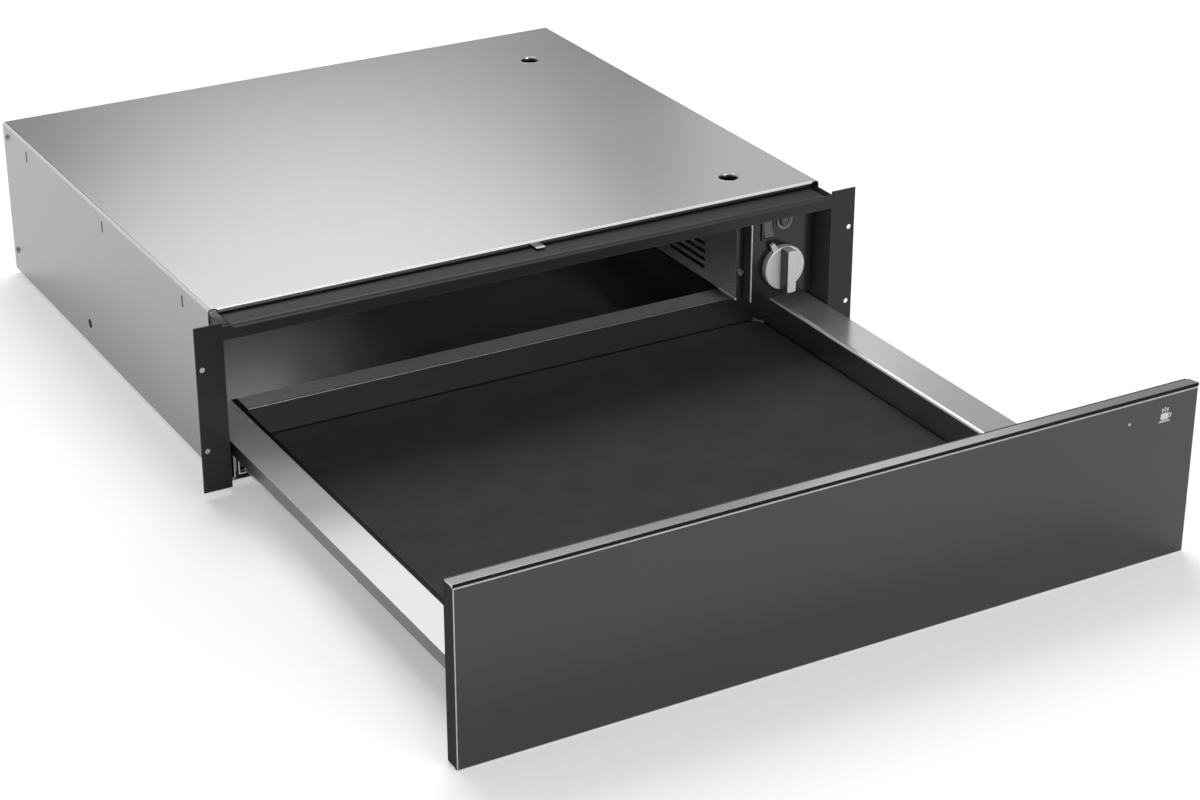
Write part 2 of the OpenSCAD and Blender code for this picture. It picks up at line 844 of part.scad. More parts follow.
// Thin tube from the thermostat: back, up, across to the duct wall and back to the bulb
capillary_r = 1;
capillary_bend = 6;
module capillary_tube() {
    start_y = control_y + sheet_t + thermostat_d;
    low_z = knob_z + thermostat_hh / 2;
    back = start_y + bulb_r;
    turn_y = back + capillary_bend;
    color([0.8, 0.5, 0.3]) {
        bar_y(knob_x, [start_y, back], low_z, capillary_r);
        translate([knob_x, back, low_z + capillary_bend])
            rotate([90, 0, 90]) rotate([0, 0, -90])
                quarter_bend(capillary_bend, capillary_r);
        bar_z(knob_x, turn_y, [low_z + capillary_bend, bulb_z - capillary_bend],
              capillary_r);
        translate([knob_x - capillary_bend, turn_y, bulb_z - capillary_bend])
            rotate([90, 0, 0]) quarter_bend(capillary_bend, capillary_r);
        bar_x([bulb_x + capillary_bend, knob_x - capillary_bend], turn_y, bulb_z,
              capillary_r);
        translate([bulb_x + capillary_bend, turn_y + capillary_bend, bulb_z])
            rotate([0, 0, 180]) quarter_bend(capillary_bend, capillary_r);
        bar_y(bulb_x, [turn_y + capillary_bend, bulb_y], bulb_z, capillary_r);
    }
}

// Scroll of the fan: a round shell with a straight outlet towards the front
module fan_scroll() {
    color([0.7, 0.7, 0.71])
    difference() {
        union() {
            bar_x([scroll_x, scroll_back_x], fan_y, fan_z, scroll_r);
            block([scroll_x, scroll_back_x], [fan_y - outlet_l, fan_y],
                  [duct_floor_z, duct_floor_z + outlet_h]);
        }
        bar_x([scroll_x + sheet_t, scroll_back_x - sheet_t], fan_y, fan_z,
              scroll_r - sheet_t);
        block([scroll_x + sheet_t, scroll_back_x - sheet_t],
              [fan_y - outlet_l - cut, fan_y],
              [duct_floor_z + sheet_t, duct_floor_z + outlet_h - sheet_t]);
        bar_x([scroll_x - cut, scroll_x + sheet_t + cut], fan_y, fan_z, eye_r);
        bar_x([scroll_back_x - sheet_t - cut, scroll_back_x + cut], fan_y, fan_z,
              2 * shaft_r);
    }
}

// Impeller: back disc, ring of blades, front ring and hub
module fan_impeller() {
    end_x = impeller_x + impeller_w;
    color([0.2, 0.2, 0.2])
    difference() {
        union() {
            bar_x([end_x - 1.5 * blade_t, end_x], fan_y, fan_z, impeller_r);
            bar_x([end_x - impeller_w / 2, end_x], fan_y, fan_z, hub_r);
            difference() {
                bar_x([impeller_x, impeller_x + blade_t], fan_y, fan_z, impeller_r);
                bar_x([impeller_x - cut, impeller_x + blade_t + cut], fan_y, fan_z, eye_r);
            }
            for (i = [0 : blades - 1])
                translate([0, fan_y, fan_z]) rotate([i * 360 / blades, 0, 0])
                    block([impeller_x, end_x], [-blade_t / 2, blade_t / 2],
                          [eye_r + blade_t / 2, impeller_r - blade_t / 2]);
        }
        bar_x([impeller_x - cut, end_x + cut], fan_y, fan_z, shaft_r + fit_gap);
    }
}

// Shaft of the fan, running in the motor
module fan_shaft() {
    color([0.75, 0.75, 0.76])
        bar_x([impeller_x + impeller_w / 2, motor_end_x], fan_y, fan_z, shaft_r);
}

// Fan motor: stack of laminations, a bearing boss at each end and the coil
module fan_motor() {
    color([0.35, 0.35, 0.36])
    difference() {
        union() {
            block([motor_x, motor_x + motor_stack_l], [fan_y - motor_hw, fan_y + motor_hw],
                  [fan_z - motor_hw, fan_z + motor_hw]);
            bar_x([scroll_back_x, motor_end_x], fan_y, fan_z, motor_boss_r);
            block([motor_x - motor_boss_l / 2, motor_x + motor_stack_l + motor_boss_l / 2],
                  [fan_y - coil_hw, fan_y + coil_hw],
                  [fan_z - motor_hw - coil_h, fan_z - motor_hw]);
        }
        bar_x([scroll_back_x - cut, motor_end_x + cut], fan_y, fan_z, shaft_r + run_gap);
    }
}

// Heating element: hairpins of tube in front of the fan's outlet
module heater_element() {
    color([0.5, 0.5, 0.51])
    for (i = [0 : heater_loops - 1])
        translate([0, heater_y + i * heater_pitch, 0]) {
            for (side = [-1, 1]) {
                z = heater_z + side * heater_bend_r;
                bar_x([heater_tip_x, heater_plate_x + heater_plate_t + heater_tail], 0, z,
                      heater_r);
                bar_x([heater_plate_x + heater_plate_t + heater_tail,
                       heater_plate_x + heater_plate_t + heater_tail + pin_l], 0, z, pin_r);
            }
            translate([heater_tip_x, 0, heater_z]) rotate([-90, 0, 0]) rotate([0, 0, 90])
                rotate_extrude(angle = 180) translate([heater_bend_r, 0])
                    circle(r = heater_r);
        }
}

// Plate that carries the hairpins' ends
heater_edge = 4;
module heater_plate() {
    end_y = heater_y + (heater_loops - 1) * heater_pitch;
    color([0.62, 0.62, 0.63])
    difference() {
        block([heater_plate_x, heater_plate_x + heater_plate_t],
              [heater_y - heater_r - heater_edge, end_y + heater_r + heater_edge],
              [duct_floor_z, heater_z + heater_bend_r + heater_r + heater_edge]);
        for (i = [0 : heater_loops - 1])
            for (side = [-1, 1])
                bar_x([heater_plate_x - cut, heater_plate_x + heater_plate_t + cut],
                      heater_y + i * heater_pitch, heater_z + side * heater_bend_r,
                      heater_r + run_gap);
    }
}

// Thermal cut-out on the duct wall
cutout_r = 8;
cutout_t = 6.5;
module thermal_cutout() {
    y = fan_y - scroll_r - 1.6 * cutout_r;
    color([0.15, 0.15, 0.15]) {
        bar_x([duct_x + sheet_t, duct_x + sheet_t + cutout_t], y, bulb_z, cutout_r);
        for (i = [-1, 1])
            block([duct_x + sheet_t + cutout_t, duct_x + sheet_t + cutout_t + tab_l],
                  [y - tab_w / 2, y + tab_w / 2],
                  [bulb_z + i * cutout_r / 2, bulb_z + i * cutout_r / 2 + tab_t]);
    }
}

// Terminal block for the mains wires, on the duct floor
terminal_hw = 20;
terminal_d = 28;
terminal_h = 17.5;
terminal_back_gap = 26;
terminal_screw_r = 3;
module terminal_block() {
    end_y = back_y - terminal_back_gap;
    color([0.9, 0.9, 0.86])
    difference() {
        block([knob_x - terminal_hw, knob_x + terminal_hw], [end_y - terminal_d, end_y],
              [duct_floor_z, duct_floor_z + terminal_h]);
        for (i = [-1 : 1]) {
            x = knob_x + i * terminal_hw * 2 / 3;
            bar_z(x, end_y - terminal_d / 2,
                  [duct_floor_z + terminal_h / 2, duct_floor_z + terminal_h + cut],
                  terminal_screw_r);
            bar_y(x, [end_y - terminal_d - cut, end_y + cut],
                  duct_floor_z + terminal_h / 3, 0.8 * terminal_screw_r);
        }
    }
}

// Cable gland in the rear panel: the mains inlet
module cable_gland() {
    color([0.12, 0.12, 0.12])
    difference() {
        union() {
            bar_y(gland_x, [back_y - gland_inside_l, housing_d + gland_nut_l], gland_z,
                  gland_body_r);
            translate([gland_x, housing_d, gland_z]) rotate([-90, 0, 0])
                cylinder(h = gland_nut_l, r = gland_nut_r, $fn = 6);
            translate([gland_x, back_y - gland_nut_l, gland_z]) rotate([-90, 0, 0])
                cylinder(h = gland_nut_l, r = gland_nut_r, $fn = 6);
            translate([gland_x, housing_d + gland_nut_l, gland_z]) rotate([-90, 0, 0])
                cylinder(h = gland_dome_l, r1 = gland_dome_r, r2 = 0.7 * gland_dome_r);
        }
        bar_y(gland_x,
              [back_y - gland_inside_l - cut, housing_d + gland_nut_l + gland_dome_l + cut],
              gland_z, gland_bore_r);
    }
}

// Bracket that carries a runner on the base, stepping in under the drawer's lip
module runner_bracket() {
    y = [base_setback + 2 * sheet_t, runner_y + runner_l - 3 * sheet_t];
    color([0.6, 0.6, 0.61]) {
        block([return_x - sheet_t, return_x], y, [floor_z, runner_z + side_hole_r]);
        block([bracket_x - sheet_t, return_x - sheet_t], y, [floor_z, floor_z + sheet_t]);
        block([bracket_x - sheet_t, bracket_x], y,
              [floor_z + sheet_t, runner_z + runner_h / 2 - 2 * sheet_t]);
    }
}

module runner_bracket_right() { runner_bracket(); }
module runner_bracket_left() { on_left() runner_bracket(); }

// Channel of a runner: a web at x and two edges that reach inwards or outwards to reach_x
module channel(x, reach_x, h, y) {
    low = runner_z - h / 2;
    high = runner_z + h / 2;
    block([min(x, x - member_t), max(x, x - member_t)], y, [low, high]);
    for (z = [low, high - member_t])
        block([min(x - member_t, reach_x), max(x, reach_x)], y, [z, z + member_t]);
}

// Outer member, fixed to the bracket
module runner_outer() {
    color([0.74, 0.74, 0.75])
        channel(outer_x, runner_in_x + member_reach, outer_h,
                [runner_y, runner_y + runner_l]);
}

module runner_outer_right() { runner_outer(); }
module runner_outer_left() { on_left() runner_outer(); }

// Middle member, pulled out by half of the travel
module runner_middle() {
    start = runner_y - middle_move;
    color([0.7, 0.7, 0.71])
        channel(middle_x, runner_in_x + member_reach, middle_h, [start, start + runner_l]);
}

module runner_middle_right() { runner_middle(); }
module runner_middle_left() { on_left() runner_middle(); }

// Inner member, fixed to the drawer
module runner_inner() {
    start = runner_y - travel;
    color([0.74, 0.74, 0.75])
        channel(runner_in_x + member_t, inner_reach_x, inner_h, [start, start + runner_l]);
}

module runner_inner_right() { runner_inner(); }
module runner_inner_left() { on_left() runner_inner(); }

// Cage of balls: a bent strip with a row of balls along its upper and its lower edge
module ball_cage(x, leg_x, ball_x, row, mid_y) {
    y0 = mid_y - cage_l / 2;
    step = cage_l / cage_balls;
    color([0.8, 0.8, 0.8]) {
        block([x - cage_t, x], [y0, y0 + cage_l],
              [runner_z - row - cage_t / 2, runner_z + row + cage_t / 2]);
        for (side = [-1, 1]) {
            z = runner_z + side * row;
            block([leg_x, x], [y0, y0 + cage_l], [z - cage_t / 2, z + cage_t / 2]);
            for (i = [0 : cage_balls - 1])
                translate([ball_x, y0 + (i + 0.5) * step, z]) sphere(r = ball_r, $fn = 32);
        }
    }
}

// Cage between the outer and the middle member
module outer_cage() {
    row = outer_h / 2 - member_t - race / 2;
    leg_x = runner_in_x + member_reach + cage_t;
    overlap_mid = runner_y + runner_l / 2 - middle_move / 2;
    ball_cage(outer_cage_x, leg_x, (leg_x + middle_x - member_t) / 2, row, overlap_mid);
}

module outer_cage_right() { outer_cage(); }
module outer_cage_left() { on_left() outer_cage(); }

// Cage between the middle and the inner member
module inner_cage() {
    row = middle_h / 2 - member_t - race / 2;
    leg_x = runner_in_x + member_t + cage_t;
    overlap_mid = runner_y + runner_l / 2 - 1.5 * middle_move;
    ball_cage(inner_cage_x, leg_x, (leg_x + inner_reach_x) / 2, row, overlap_mid);
}

module inner_cage_right() { inner_cage(); }
module inner_cage_left() { on_left() inner_cage(); }

// Push latch at the back of the base
module latch_body() {
    color([0.15, 0.15, 0.16])
    difference() {
        centred_block(latch_w / 2, [latch_y, back_y], [floor_z, floor_z + latch_h]);
        bar_y(0, [latch_y - cut, back_y - latch_wall], latch_z, plunger_r + run_gap);
    }
}

// Its sprung plunger, standing out of the body
plunger_spare = 1;
module latch_plunger() {
    end_y = back_y - latch_wall - plunger_travel - plunger_spare;
    color([0.85, 0.85, 0.84])
        bar_y(0, [plunger_y, end_y], latch_z, plunger_r);
}

// Pressed tray: floor, side walls, side flanges and their lips
module drawer_tray() {
    color([0.8, 0.8, 0.8]) {
        centred_block(wall_x, [panel_y, tray_back_y + sheet_t], [tray_z, tray_floor_z]);
        both_sides() {
            block([tray_w / 2, wall_x], [panel_y, tray_back_y + sheet_t],
                  [tray_floor_z, flange_low_z]);
            block([tray_w / 2, flange_x], [panel_y, tray_end_y], [flange_low_z, flange_z]);
            block([flange_x - sheet_t, flange_x], [panel_y, tray_end_y],
                  [flange_low_z - flange_lip_h, flange_low_z]);
        }
    }
}

// Rear wall of the tray with its flange and lip
module tray_rear() {
    color([0.76, 0.76, 0.76]) {
        centred_block(tray_w / 2, [tray_back_y, tray_back_y + sheet_t],
                      [tray_floor_z, flange_z]);
        centred_block(tray_w / 2, [tray_back_y + sheet_t, tray_end_y],
                      [flange_low_z, flange_z]);
        centred_block(tray_w / 2, [tray_end_y - sheet_t, tray_end_y],
                      [flange_low_z - flange_lip_h, flange_low_z]);
    }
}

// Front wall of the tray, against the panel
module tray_front() {
    color([0.76, 0.76, 0.76])
        centred_block(tray_w / 2, [panel_y, panel_y + sheet_t], [tray_floor_z, flange_z]);
}

// Anti-slip mat on the tray floor
module tray_mat() {
    color([0.12, 0.12, 0.12])
        centred_block(tray_w / 2 - mat_inset,
                      [panel_y + sheet_t + mat_inset, tray_back_y - mat_inset],
                      [tray_floor_z, tray_floor_z + mat_t]);
}

// Channel along the tray wall that carries the inner runner
channel_low_z = tray_z + 5 * sheet_t;
module side_channel() {
    y = [panel_y, tray_back_y];
    color([0.62, 0.62, 0.63]) {
        block([runner_in_x - sheet_t, runner_in_x], y, [channel_low_z, flange_low_z]);
        block([wall_x, runner_in_x - sheet_t], y, [channel_low_z, channel_low_z + sheet_t]);
        block([wall_x + sheet_t, runner_in_x - sheet_t], y,
              [flange_low_z - sheet_t, flange_low_z]);
    }
}

module side_channel_right() { side_channel(); }
module side_channel_left() { on_left() side_channel(); }

// Angle that joins the panel to the side channel
bracket_t = 1.5;
bracket_l = 40;
bracket_gap = 1;
bracket_z = [channel_low_z + sheet_t + bracket_gap, flange_low_z - sheet_t - bracket_gap];
bracket_far_x = runner_in_x - sheet_t;
bracket_near_x = wall_x + 2 * sheet_t;
bracket_screw_x = (bracket_near_x + bracket_far_x - bracket_t) / 2;
bracket_screw_zs = [bracket_z[0] + head_r + bracket_gap, bracket_z[1] - head_r - bracket_gap];
bracket_screw_l = 6.5;
module front_bracket() {
    color([0.5, 0.5, 0.51])
    difference() {
        union() {
            block([bracket_near_x, bracket_far_x], [panel_y, panel_y + bracket_t], bracket_z);
            block([bracket_far_x - bracket_t, bracket_far_x],
                  [panel_y + bracket_t, panel_y + bracket_l], bracket_z);
        }
        bracket_screw_holes();
    }
}

module front_bracket_right() { front_bracket(); }
module front_bracket_left() { on_left() front_bracket(); }

module bracket_screw_holes() {
    for (z = bracket_screw_zs)
        bar_y(bracket_screw_x, [panel_y - sheet_t - cut, panel_y + bracket_t + cut], z,
              screw_r + screw_gap);
}

module bracket_screws() {
    color([0.75, 0.75, 0.76])
    both_sides()
        for (z = bracket_screw_zs)
            translate([bracket_screw_x, panel_y + bracket_t, z]) rotate([90, 0, 0])
                screw(bracket_screw_l);
}

// Folded steel tray behind the glass
module front_backing() {
    color([0.22, 0.22, 0.23])
    difference() {
        centred_block(backing_x, [glass_back_y, panel_y], [backing_z, trim_z]);
        centred_block(backing_x - sheet_t, [glass_back_y - cut, panel_y - sheet_t],
                      [backing_z + sheet_t, trim_z - sheet_t]);
        both_sides() bracket_screw_holes();
    }
}

// Dark glass front, with the hole for the lamp window
status_x = glass_x - status_inset;
status_z = glass_top_z - status_drop;
module glass_fascia() {
    color([0.27, 0.27, 0.28])
    difference() {
        centred_block(glass_x, [glass_y, glass_back_y], [glass_z, glass_top_z]);
        bar_y(status_x, [glass_y - cut, glass_back_y + cut], status_z, status_r + fit_gap);
    }
}

// Small lamp window in the glass
module status_lens() {
    color([0.9, 0.9, 0.85])
        bar_y(status_x, [glass_y, panel_y - sheet_t], status_z, status_r);
}

// Bright trim strip along the top of the panel
module top_trim() {
    color([0.82, 0.82, 0.82])
        centred_block(glass_x, [glass_y, glass_y + trim_d], [trim_z, trim_z + trim_h]);
}

// Rubber buffers on the back of the panel, which meet the ears
bumper_r = 5;
bumper_t = panel_gap - loose_gap;
bumper_x = (return_x + glass_x) / 2;
bumper_shares = [0.17, 0.92];
module bumpers() {
    color([0.1, 0.1, 0.1])
    both_sides()
        for (share = bumper_shares)
            bar_y(bumper_x, [panel_y, panel_y + bumper_t], glass_z + share * glass_h,
                  bumper_r);
}

// Striker on the back of the tray, which meets the latch
striker_hw = 12;
striker_hh = 5;
module latch_striker() {
    color([0.75, 0.75, 0.76])
        centred_block(striker_hw, [striker_y, striker_y + striker_t],
                      [latch_z - striker_hh + sheet_t, latch_z + striker_hh]);
}

casing();
base_pan();
rear_panel();
front_frame();
heat_shield();
shield_ribs();
insulation_mat();
duct_wall();
duct_floor();
control_panel();
thermostat();
sensor_bulb();
capillary_tube();
switch_body();
pilot_lamp();
lamp_lens();
fan_scroll();
fan_motor();
heater_element();
heater_plate();
thermal_cutout();
terminal_block();
cable_gland();
runner_bracket_left();
runner_bracket_right();
runner_outer_left();
runner_outer_right();
latch_body();
rear_screws();
duct_screws();
knob();
thermostat_spindle();
rocker();
latch_plunger();
fan_impeller();
fan_shaft();
runner_middle_left();
runner_middle_right();
outer_cage_left();
outer_cage_right();
inner_cage_left();
inner_cage_right();
drawer_tray();
tray_rear();
tray_front();
tray_mat();
side_channel_left();
side_channel_right();
runner_inner_left();
runner_inner_right();
front_bracket_left();
front_bracket_right();
front_backing();
glass_fascia();
top_trim();
status_lens();
bumpers();
bracket_screws();
latch_striker();
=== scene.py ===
# %% [markdown]
# # A built-in warming drawer
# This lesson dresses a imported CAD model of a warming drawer. The drawer is pulled out,
# so the glass front, the pressed tray, the runners, the dark front frame, the control panel
# and the big folded casing are all in sight. The CAD parts stay where they are. Those that
# show get softened edges or are modelled anew, and every one gets a finish made of nodes.

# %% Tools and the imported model
import math

import bmesh
import bpy
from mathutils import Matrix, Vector

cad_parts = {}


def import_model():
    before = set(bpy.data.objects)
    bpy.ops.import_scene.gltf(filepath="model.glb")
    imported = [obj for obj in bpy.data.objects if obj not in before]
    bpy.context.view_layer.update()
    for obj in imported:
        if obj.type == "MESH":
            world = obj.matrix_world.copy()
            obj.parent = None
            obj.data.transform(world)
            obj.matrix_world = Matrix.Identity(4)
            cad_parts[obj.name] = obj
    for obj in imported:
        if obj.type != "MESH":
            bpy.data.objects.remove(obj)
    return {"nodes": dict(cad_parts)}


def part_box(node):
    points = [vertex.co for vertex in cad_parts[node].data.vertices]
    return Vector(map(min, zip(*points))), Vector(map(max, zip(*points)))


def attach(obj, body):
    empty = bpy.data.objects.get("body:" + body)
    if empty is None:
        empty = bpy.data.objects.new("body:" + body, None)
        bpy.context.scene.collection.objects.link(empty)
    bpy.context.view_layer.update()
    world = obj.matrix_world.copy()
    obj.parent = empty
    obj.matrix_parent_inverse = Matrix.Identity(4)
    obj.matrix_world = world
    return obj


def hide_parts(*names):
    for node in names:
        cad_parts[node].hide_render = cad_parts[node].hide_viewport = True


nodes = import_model()["nodes"]
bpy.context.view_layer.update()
MM = 0.001


def in_mm(lengths):
    return [round(length / MM, 1) for length in lengths]


# %% [markdown]
# ## Helpers for working by hand
# The modelling operators act on whatever is selected, and the loaded parts arrive selected.
# So one helper selects just the piece in hand, and another picks faces or edges of it in
# edit mode by where they lie. A third adds a modifier and applies it at once.


# %% Selecting and applying
def select_only(*pieces):
    bpy.ops.object.select_all(action="DESELECT")
    for piece in pieces:
        piece.select_set(True)
    bpy.context.view_layer.objects.active = pieces[0]


def pick(kind, test):
    """In edit mode, selects the faces whose middle and normal, or the edges whose ends, pass."""
    mesh = bmesh.from_edit_mesh(bpy.context.object.data)
    mesh.normal_update()
    bpy.ops.mesh.select_all(action="DESELECT")
    bpy.ops.mesh.select_mode(type="FACE" if kind == "faces" else "EDGE")
    if kind == "faces":
        for face in mesh.faces:
            face.select_set(bool(test(face.calc_center_median(), face.normal)))
    else:
        for edge in mesh.edges:
            ends = [vert.co for vert in edge.verts]
            edge.select_set(bool(test(ends[0], ends[1])))
    bmesh.update_edit_mesh(bpy.context.object.data)


def apply_modifier(piece, kind, **settings):
    select_only(piece)
    modifier = piece.modifiers.new(kind.title(), kind)
    for name, value in settings.items():
        setattr(modifier, name, value)
    bpy.ops.object.modifier_apply(modifier=modifier.name)


# %% [markdown]
# ### Soft edges
# No real edge is perfectly sharp, and a sharp one catches no light. A bevel of two or three
# narrow faces draws a fine highlight along it. Normals that are weighted by area keep the
# broad faces flat, so that only the bevel looks round.

# %% Shading and bevels
SMOOTH_BELOW = math.radians(40)


def flat_and_smooth(piece):
    """Shades rounded edges smooth and keeps broad faces flat."""
    select_only(piece)
    bpy.ops.object.shade_smooth_by_angle(angle=SMOOTH_BELOW)
    apply_modifier(piece, "WEIGHTED_NORMAL", mode="FACE_AREA", weight=100, keep_sharp=True)


def soft_edges(piece, width, segments=2, angle=30, finish=-1):
    """Rounds every edge sharper than the angle. The bevel can take another material."""
    apply_modifier(piece, "BEVEL", width=width, segments=segments, limit_method="ANGLE",
                   angle_limit=math.radians(angle), material=finish, use_clamp_overlap=True,
                   miter_outer="MITER_ARC")
    flat_and_smooth(piece)


# %% [markdown]
# ## Finishes
# A finish is never one flat colour. Rolled steel has faint streaks, powder paint has an
# orange-peel skin, rubber has a fine grain. All patterns read the object's own coordinates,
# in metres, so they keep their scale on every piece and sit still when the camera moves.
#
# Each finish is built from the same few steps: a noise pattern, a colour ramp that turns it
# into two near shades, a range that turns it into roughness, and a bump that raises it. A
# noise mostly lies between 0.3 and 0.7, so those two values are the ends of both ranges.

# %% Starting a finish and its pattern
NOISE_LOW, NOISE_HIGH = 0.3, 0.7
EVENLY = (1, 1, 1)
made = {}


def start_finish(name):
    material = bpy.data.materials.new(name)
    material.use_nodes = True
    tree = material.node_tree
    coords = tree.nodes.new("ShaderNodeTexCoord")
    made[name] = material
    return tree, tree.nodes["Principled BSDF"], coords.outputs["Object"]


def noise(tree, coords, scale, stretch=EVENLY, detail=2.0):
    """A noise. An axis with a stretch under 1 draws it out along that axis."""
    mapping = tree.nodes.new("ShaderNodeMapping")
    mapping.inputs["Scale"].default_value = stretch
    tree.links.new(coords, mapping.inputs["Vector"])
    texture = tree.nodes.new("ShaderNodeTexNoise")
    texture.inputs["Scale"].default_value = scale
    texture.inputs["Detail"].default_value = detail
    tree.links.new(mapping.outputs["Vector"], texture.inputs["Vector"])
    return texture.outputs[0]


# %% From pattern to colour, roughness and relief
def shade(colour, share):
    return tuple(channel * share for channel in colour)


def tint(tree, pattern, dark, light, low=NOISE_LOW, high=NOISE_HIGH):
    ramp = tree.nodes.new("ShaderNodeValToRGB")
    ramp.color_ramp.elements[0].position = low
    ramp.color_ramp.elements[0].color = (*dark, 1)
    ramp.color_ramp.elements[1].position = high
    ramp.color_ramp.elements[1].color = (*light, 1)
    tree.links.new(pattern, ramp.inputs["Fac"])
    return ramp.outputs["Color"]


def level(tree, pattern, low, high):
    """Turns a noise into values from low to high."""
    node = tree.nodes.new("ShaderNodeMapRange")
    node.inputs["From Min"].default_value = NOISE_LOW
    node.inputs["From Max"].default_value = NOISE_HIGH
    node.inputs["To Min"].default_value = low
    node.inputs["To Max"].default_value = high
    tree.links.new(pattern, node.inputs["Value"])
    return node.outputs["Result"]


def relief(tree, shader, pattern, depth):
    """Raises and sinks the surface by the pattern, depth metres in all."""
    bump = tree.nodes.new("ShaderNodeBump")
    bump.inputs["Distance"].default_value = depth
    tree.links.new(pattern, bump.inputs["Height"])
    tree.links.new(bump.outputs["Normal"], shader.inputs["Normal"])


# %% [markdown]
# ### Sheet steel
# Cold-rolled and coated sheet reflects its surroundings softly. Its streaks run along the
# rolling direction, and wide, faint clouds in the coating change how sharp the reflection is.
# One function makes every sheet finish, from the pale casing to the duller parts inside.

# %% Sheet steel
STREAK_SCALE, STREAK_STRETCH = 700, 0.03
CLOUD_SCALE, CLOUD_SHARE = 5, 0.55
STEEL_SPREAD = 0.02


def sheet_steel(name, colour, rough, along=1, metallic=1.0, streak=0.002 * MM):
    tree, shader, coords = start_finish(name)
    stretch = [1, 1, 1]
    stretch[along] = STREAK_STRETCH
    streaks = noise(tree, coords, STREAK_SCALE, stretch, 3)
    clouds = noise(tree, coords, CLOUD_SCALE, EVENLY, 4)
    mixed = tree.nodes.new("ShaderNodeMix")
    mixed.inputs[0].default_value = CLOUD_SHARE
    tree.links.new(streaks, mixed.inputs[2])
    tree.links.new(clouds, mixed.inputs[3])
    dark, light = shade(colour, 1 - STEEL_SPREAD), shade(colour, 1 + STEEL_SPREAD)
    tree.links.new(tint(tree, mixed.outputs[0], dark, light), shader.inputs["Base Color"])
    tree.links.new(level(tree, clouds, rough * 0.95, rough * 1.05), shader.inputs["Roughness"])
    relief(tree, shader, streaks, streak)
    shader.inputs["Metallic"].default_value = metallic


sheet_steel("casing steel", (0.38, 0.38, 0.385), 0.2)
# A darker copy of the casing steel, painted shade on the casing's sides.
sheet_steel("casing steel with painted shade", (0.3, 0.3, 0.305), 0.2)
sheet_steel("cut steel edge", (0.7, 0.7, 0.7), 0.26)
sheet_steel("tray steel", (0.66, 0.66, 0.665), 0.2, metallic=0.7)
sheet_steel("satin steel", (0.64, 0.64, 0.645), 0.27, along=0, metallic=0.4)
# Near-white steel, a painted highlight on the casing's nose and bends, the tray's right fold and the
# duct hem.
sheet_steel("painted highlight steel", (0.95, 0.95, 0.95), 0.3, along=0, metallic=0.2)
sheet_steel("tray wall steel", (0.5, 0.5, 0.51), 0.22, along=0)
# A dark steel for the tray's side channels and the runners; it is also painted shade on the tray's
# rear fold and the duct wall's front flange.
sheet_steel("dark drawer steel and painted shade", (0.17, 0.17, 0.173), 0.35)
sheet_steel("inner steel", (0.8, 0.8, 0.81), 0.2, metallic=0.95)
sheet_steel("runner steel", (0.7, 0.7, 0.71), 0.25)
sheet_steel("trim aluminium", (0.5, 0.5, 0.51), 0.2, along=0, streak=0.004 * MM)
sheet_steel("screw steel", (0.72, 0.71, 0.7), 0.28, along=2)
sheet_steel("dark steel", (0.2, 0.2, 0.21), 0.4, along=0)
print("sheet finishes:", sorted(made))

# %% [markdown]
# ### Powder paint and enamel
# The front frame is dark grey powder paint on steel. Its skin is a shallow orange peel about
# half a millimetre across, with tiny lighter specks, and it reflects only a little. The same
# function, with less gloss or a lighter colour, makes a darker paint that is painted shade on
# the ledge, a lighter one that is a painted highlight on the rail's fold, and a lighter one for
# the worn edges, which is also painted light on the right jamb.

# %% Powder paint
PEEL_SCALE = 900
SPECK_SCALE = 2430
SPECK_LIGHT = 1.35


def powder_paint(name, colour, rough, peel=0.03 * MM, gloss=0.3):
    tree, shader, coords = start_finish(name)
    skin = noise(tree, coords, PEEL_SCALE)
    specks = noise(tree, coords, SPECK_SCALE, EVENLY, 1)
    tree.links.new(tint(tree, specks, colour, shade(colour, SPECK_LIGHT), 0.45, 0.78),
                   shader.inputs["Base Color"])
    tree.links.new(level(tree, skin, rough * 0.9, rough * 1.12), shader.inputs["Roughness"])
    relief(tree, shader, skin, peel)
    shader.inputs["Specular IOR Level"].default_value = gloss


powder_paint("dark powder paint", (0.017, 0.017, 0.018), 0.42)
# Darker paint, painted shade on the ledge behind the rail.
powder_paint("painted shade ledge paint", (0.014, 0.014, 0.015), 0.45, gloss=0.15)
# Lighter paint, a painted highlight on the rail's rounded fold.
powder_paint("painted highlight powder paint", (0.04, 0.04, 0.042), 0.42)
# Lighter paint for the worn bevels of the painted parts; it is also painted light on the right jamb's
# inner side.
powder_paint("worn paint and painted highlight", (0.09, 0.09, 0.095), 0.4)
powder_paint("panel enamel", (0.014, 0.014, 0.015), 0.18, peel=0.01 * MM, gloss=0.4)
# Near black, painted shade: on the tray's left fold, the walls of the casing's slots, the sides of the
# glass and of its backing plate, and the trim's front face over the joint.
powder_paint("painted shade black", (0.008, 0.008, 0.008), 0.5, gloss=0.08)
print("with the paints:", len(made))

# %% [markdown]
# ### Glass
# The front is tinted glass with a dark coating on its back: nearly black, very smooth, and
# bright only where it reflects the floor. A thin clear coat gives the second, sharper
# reflection. Its ground edge is pale and matt, because thousands of tiny chips scatter light.

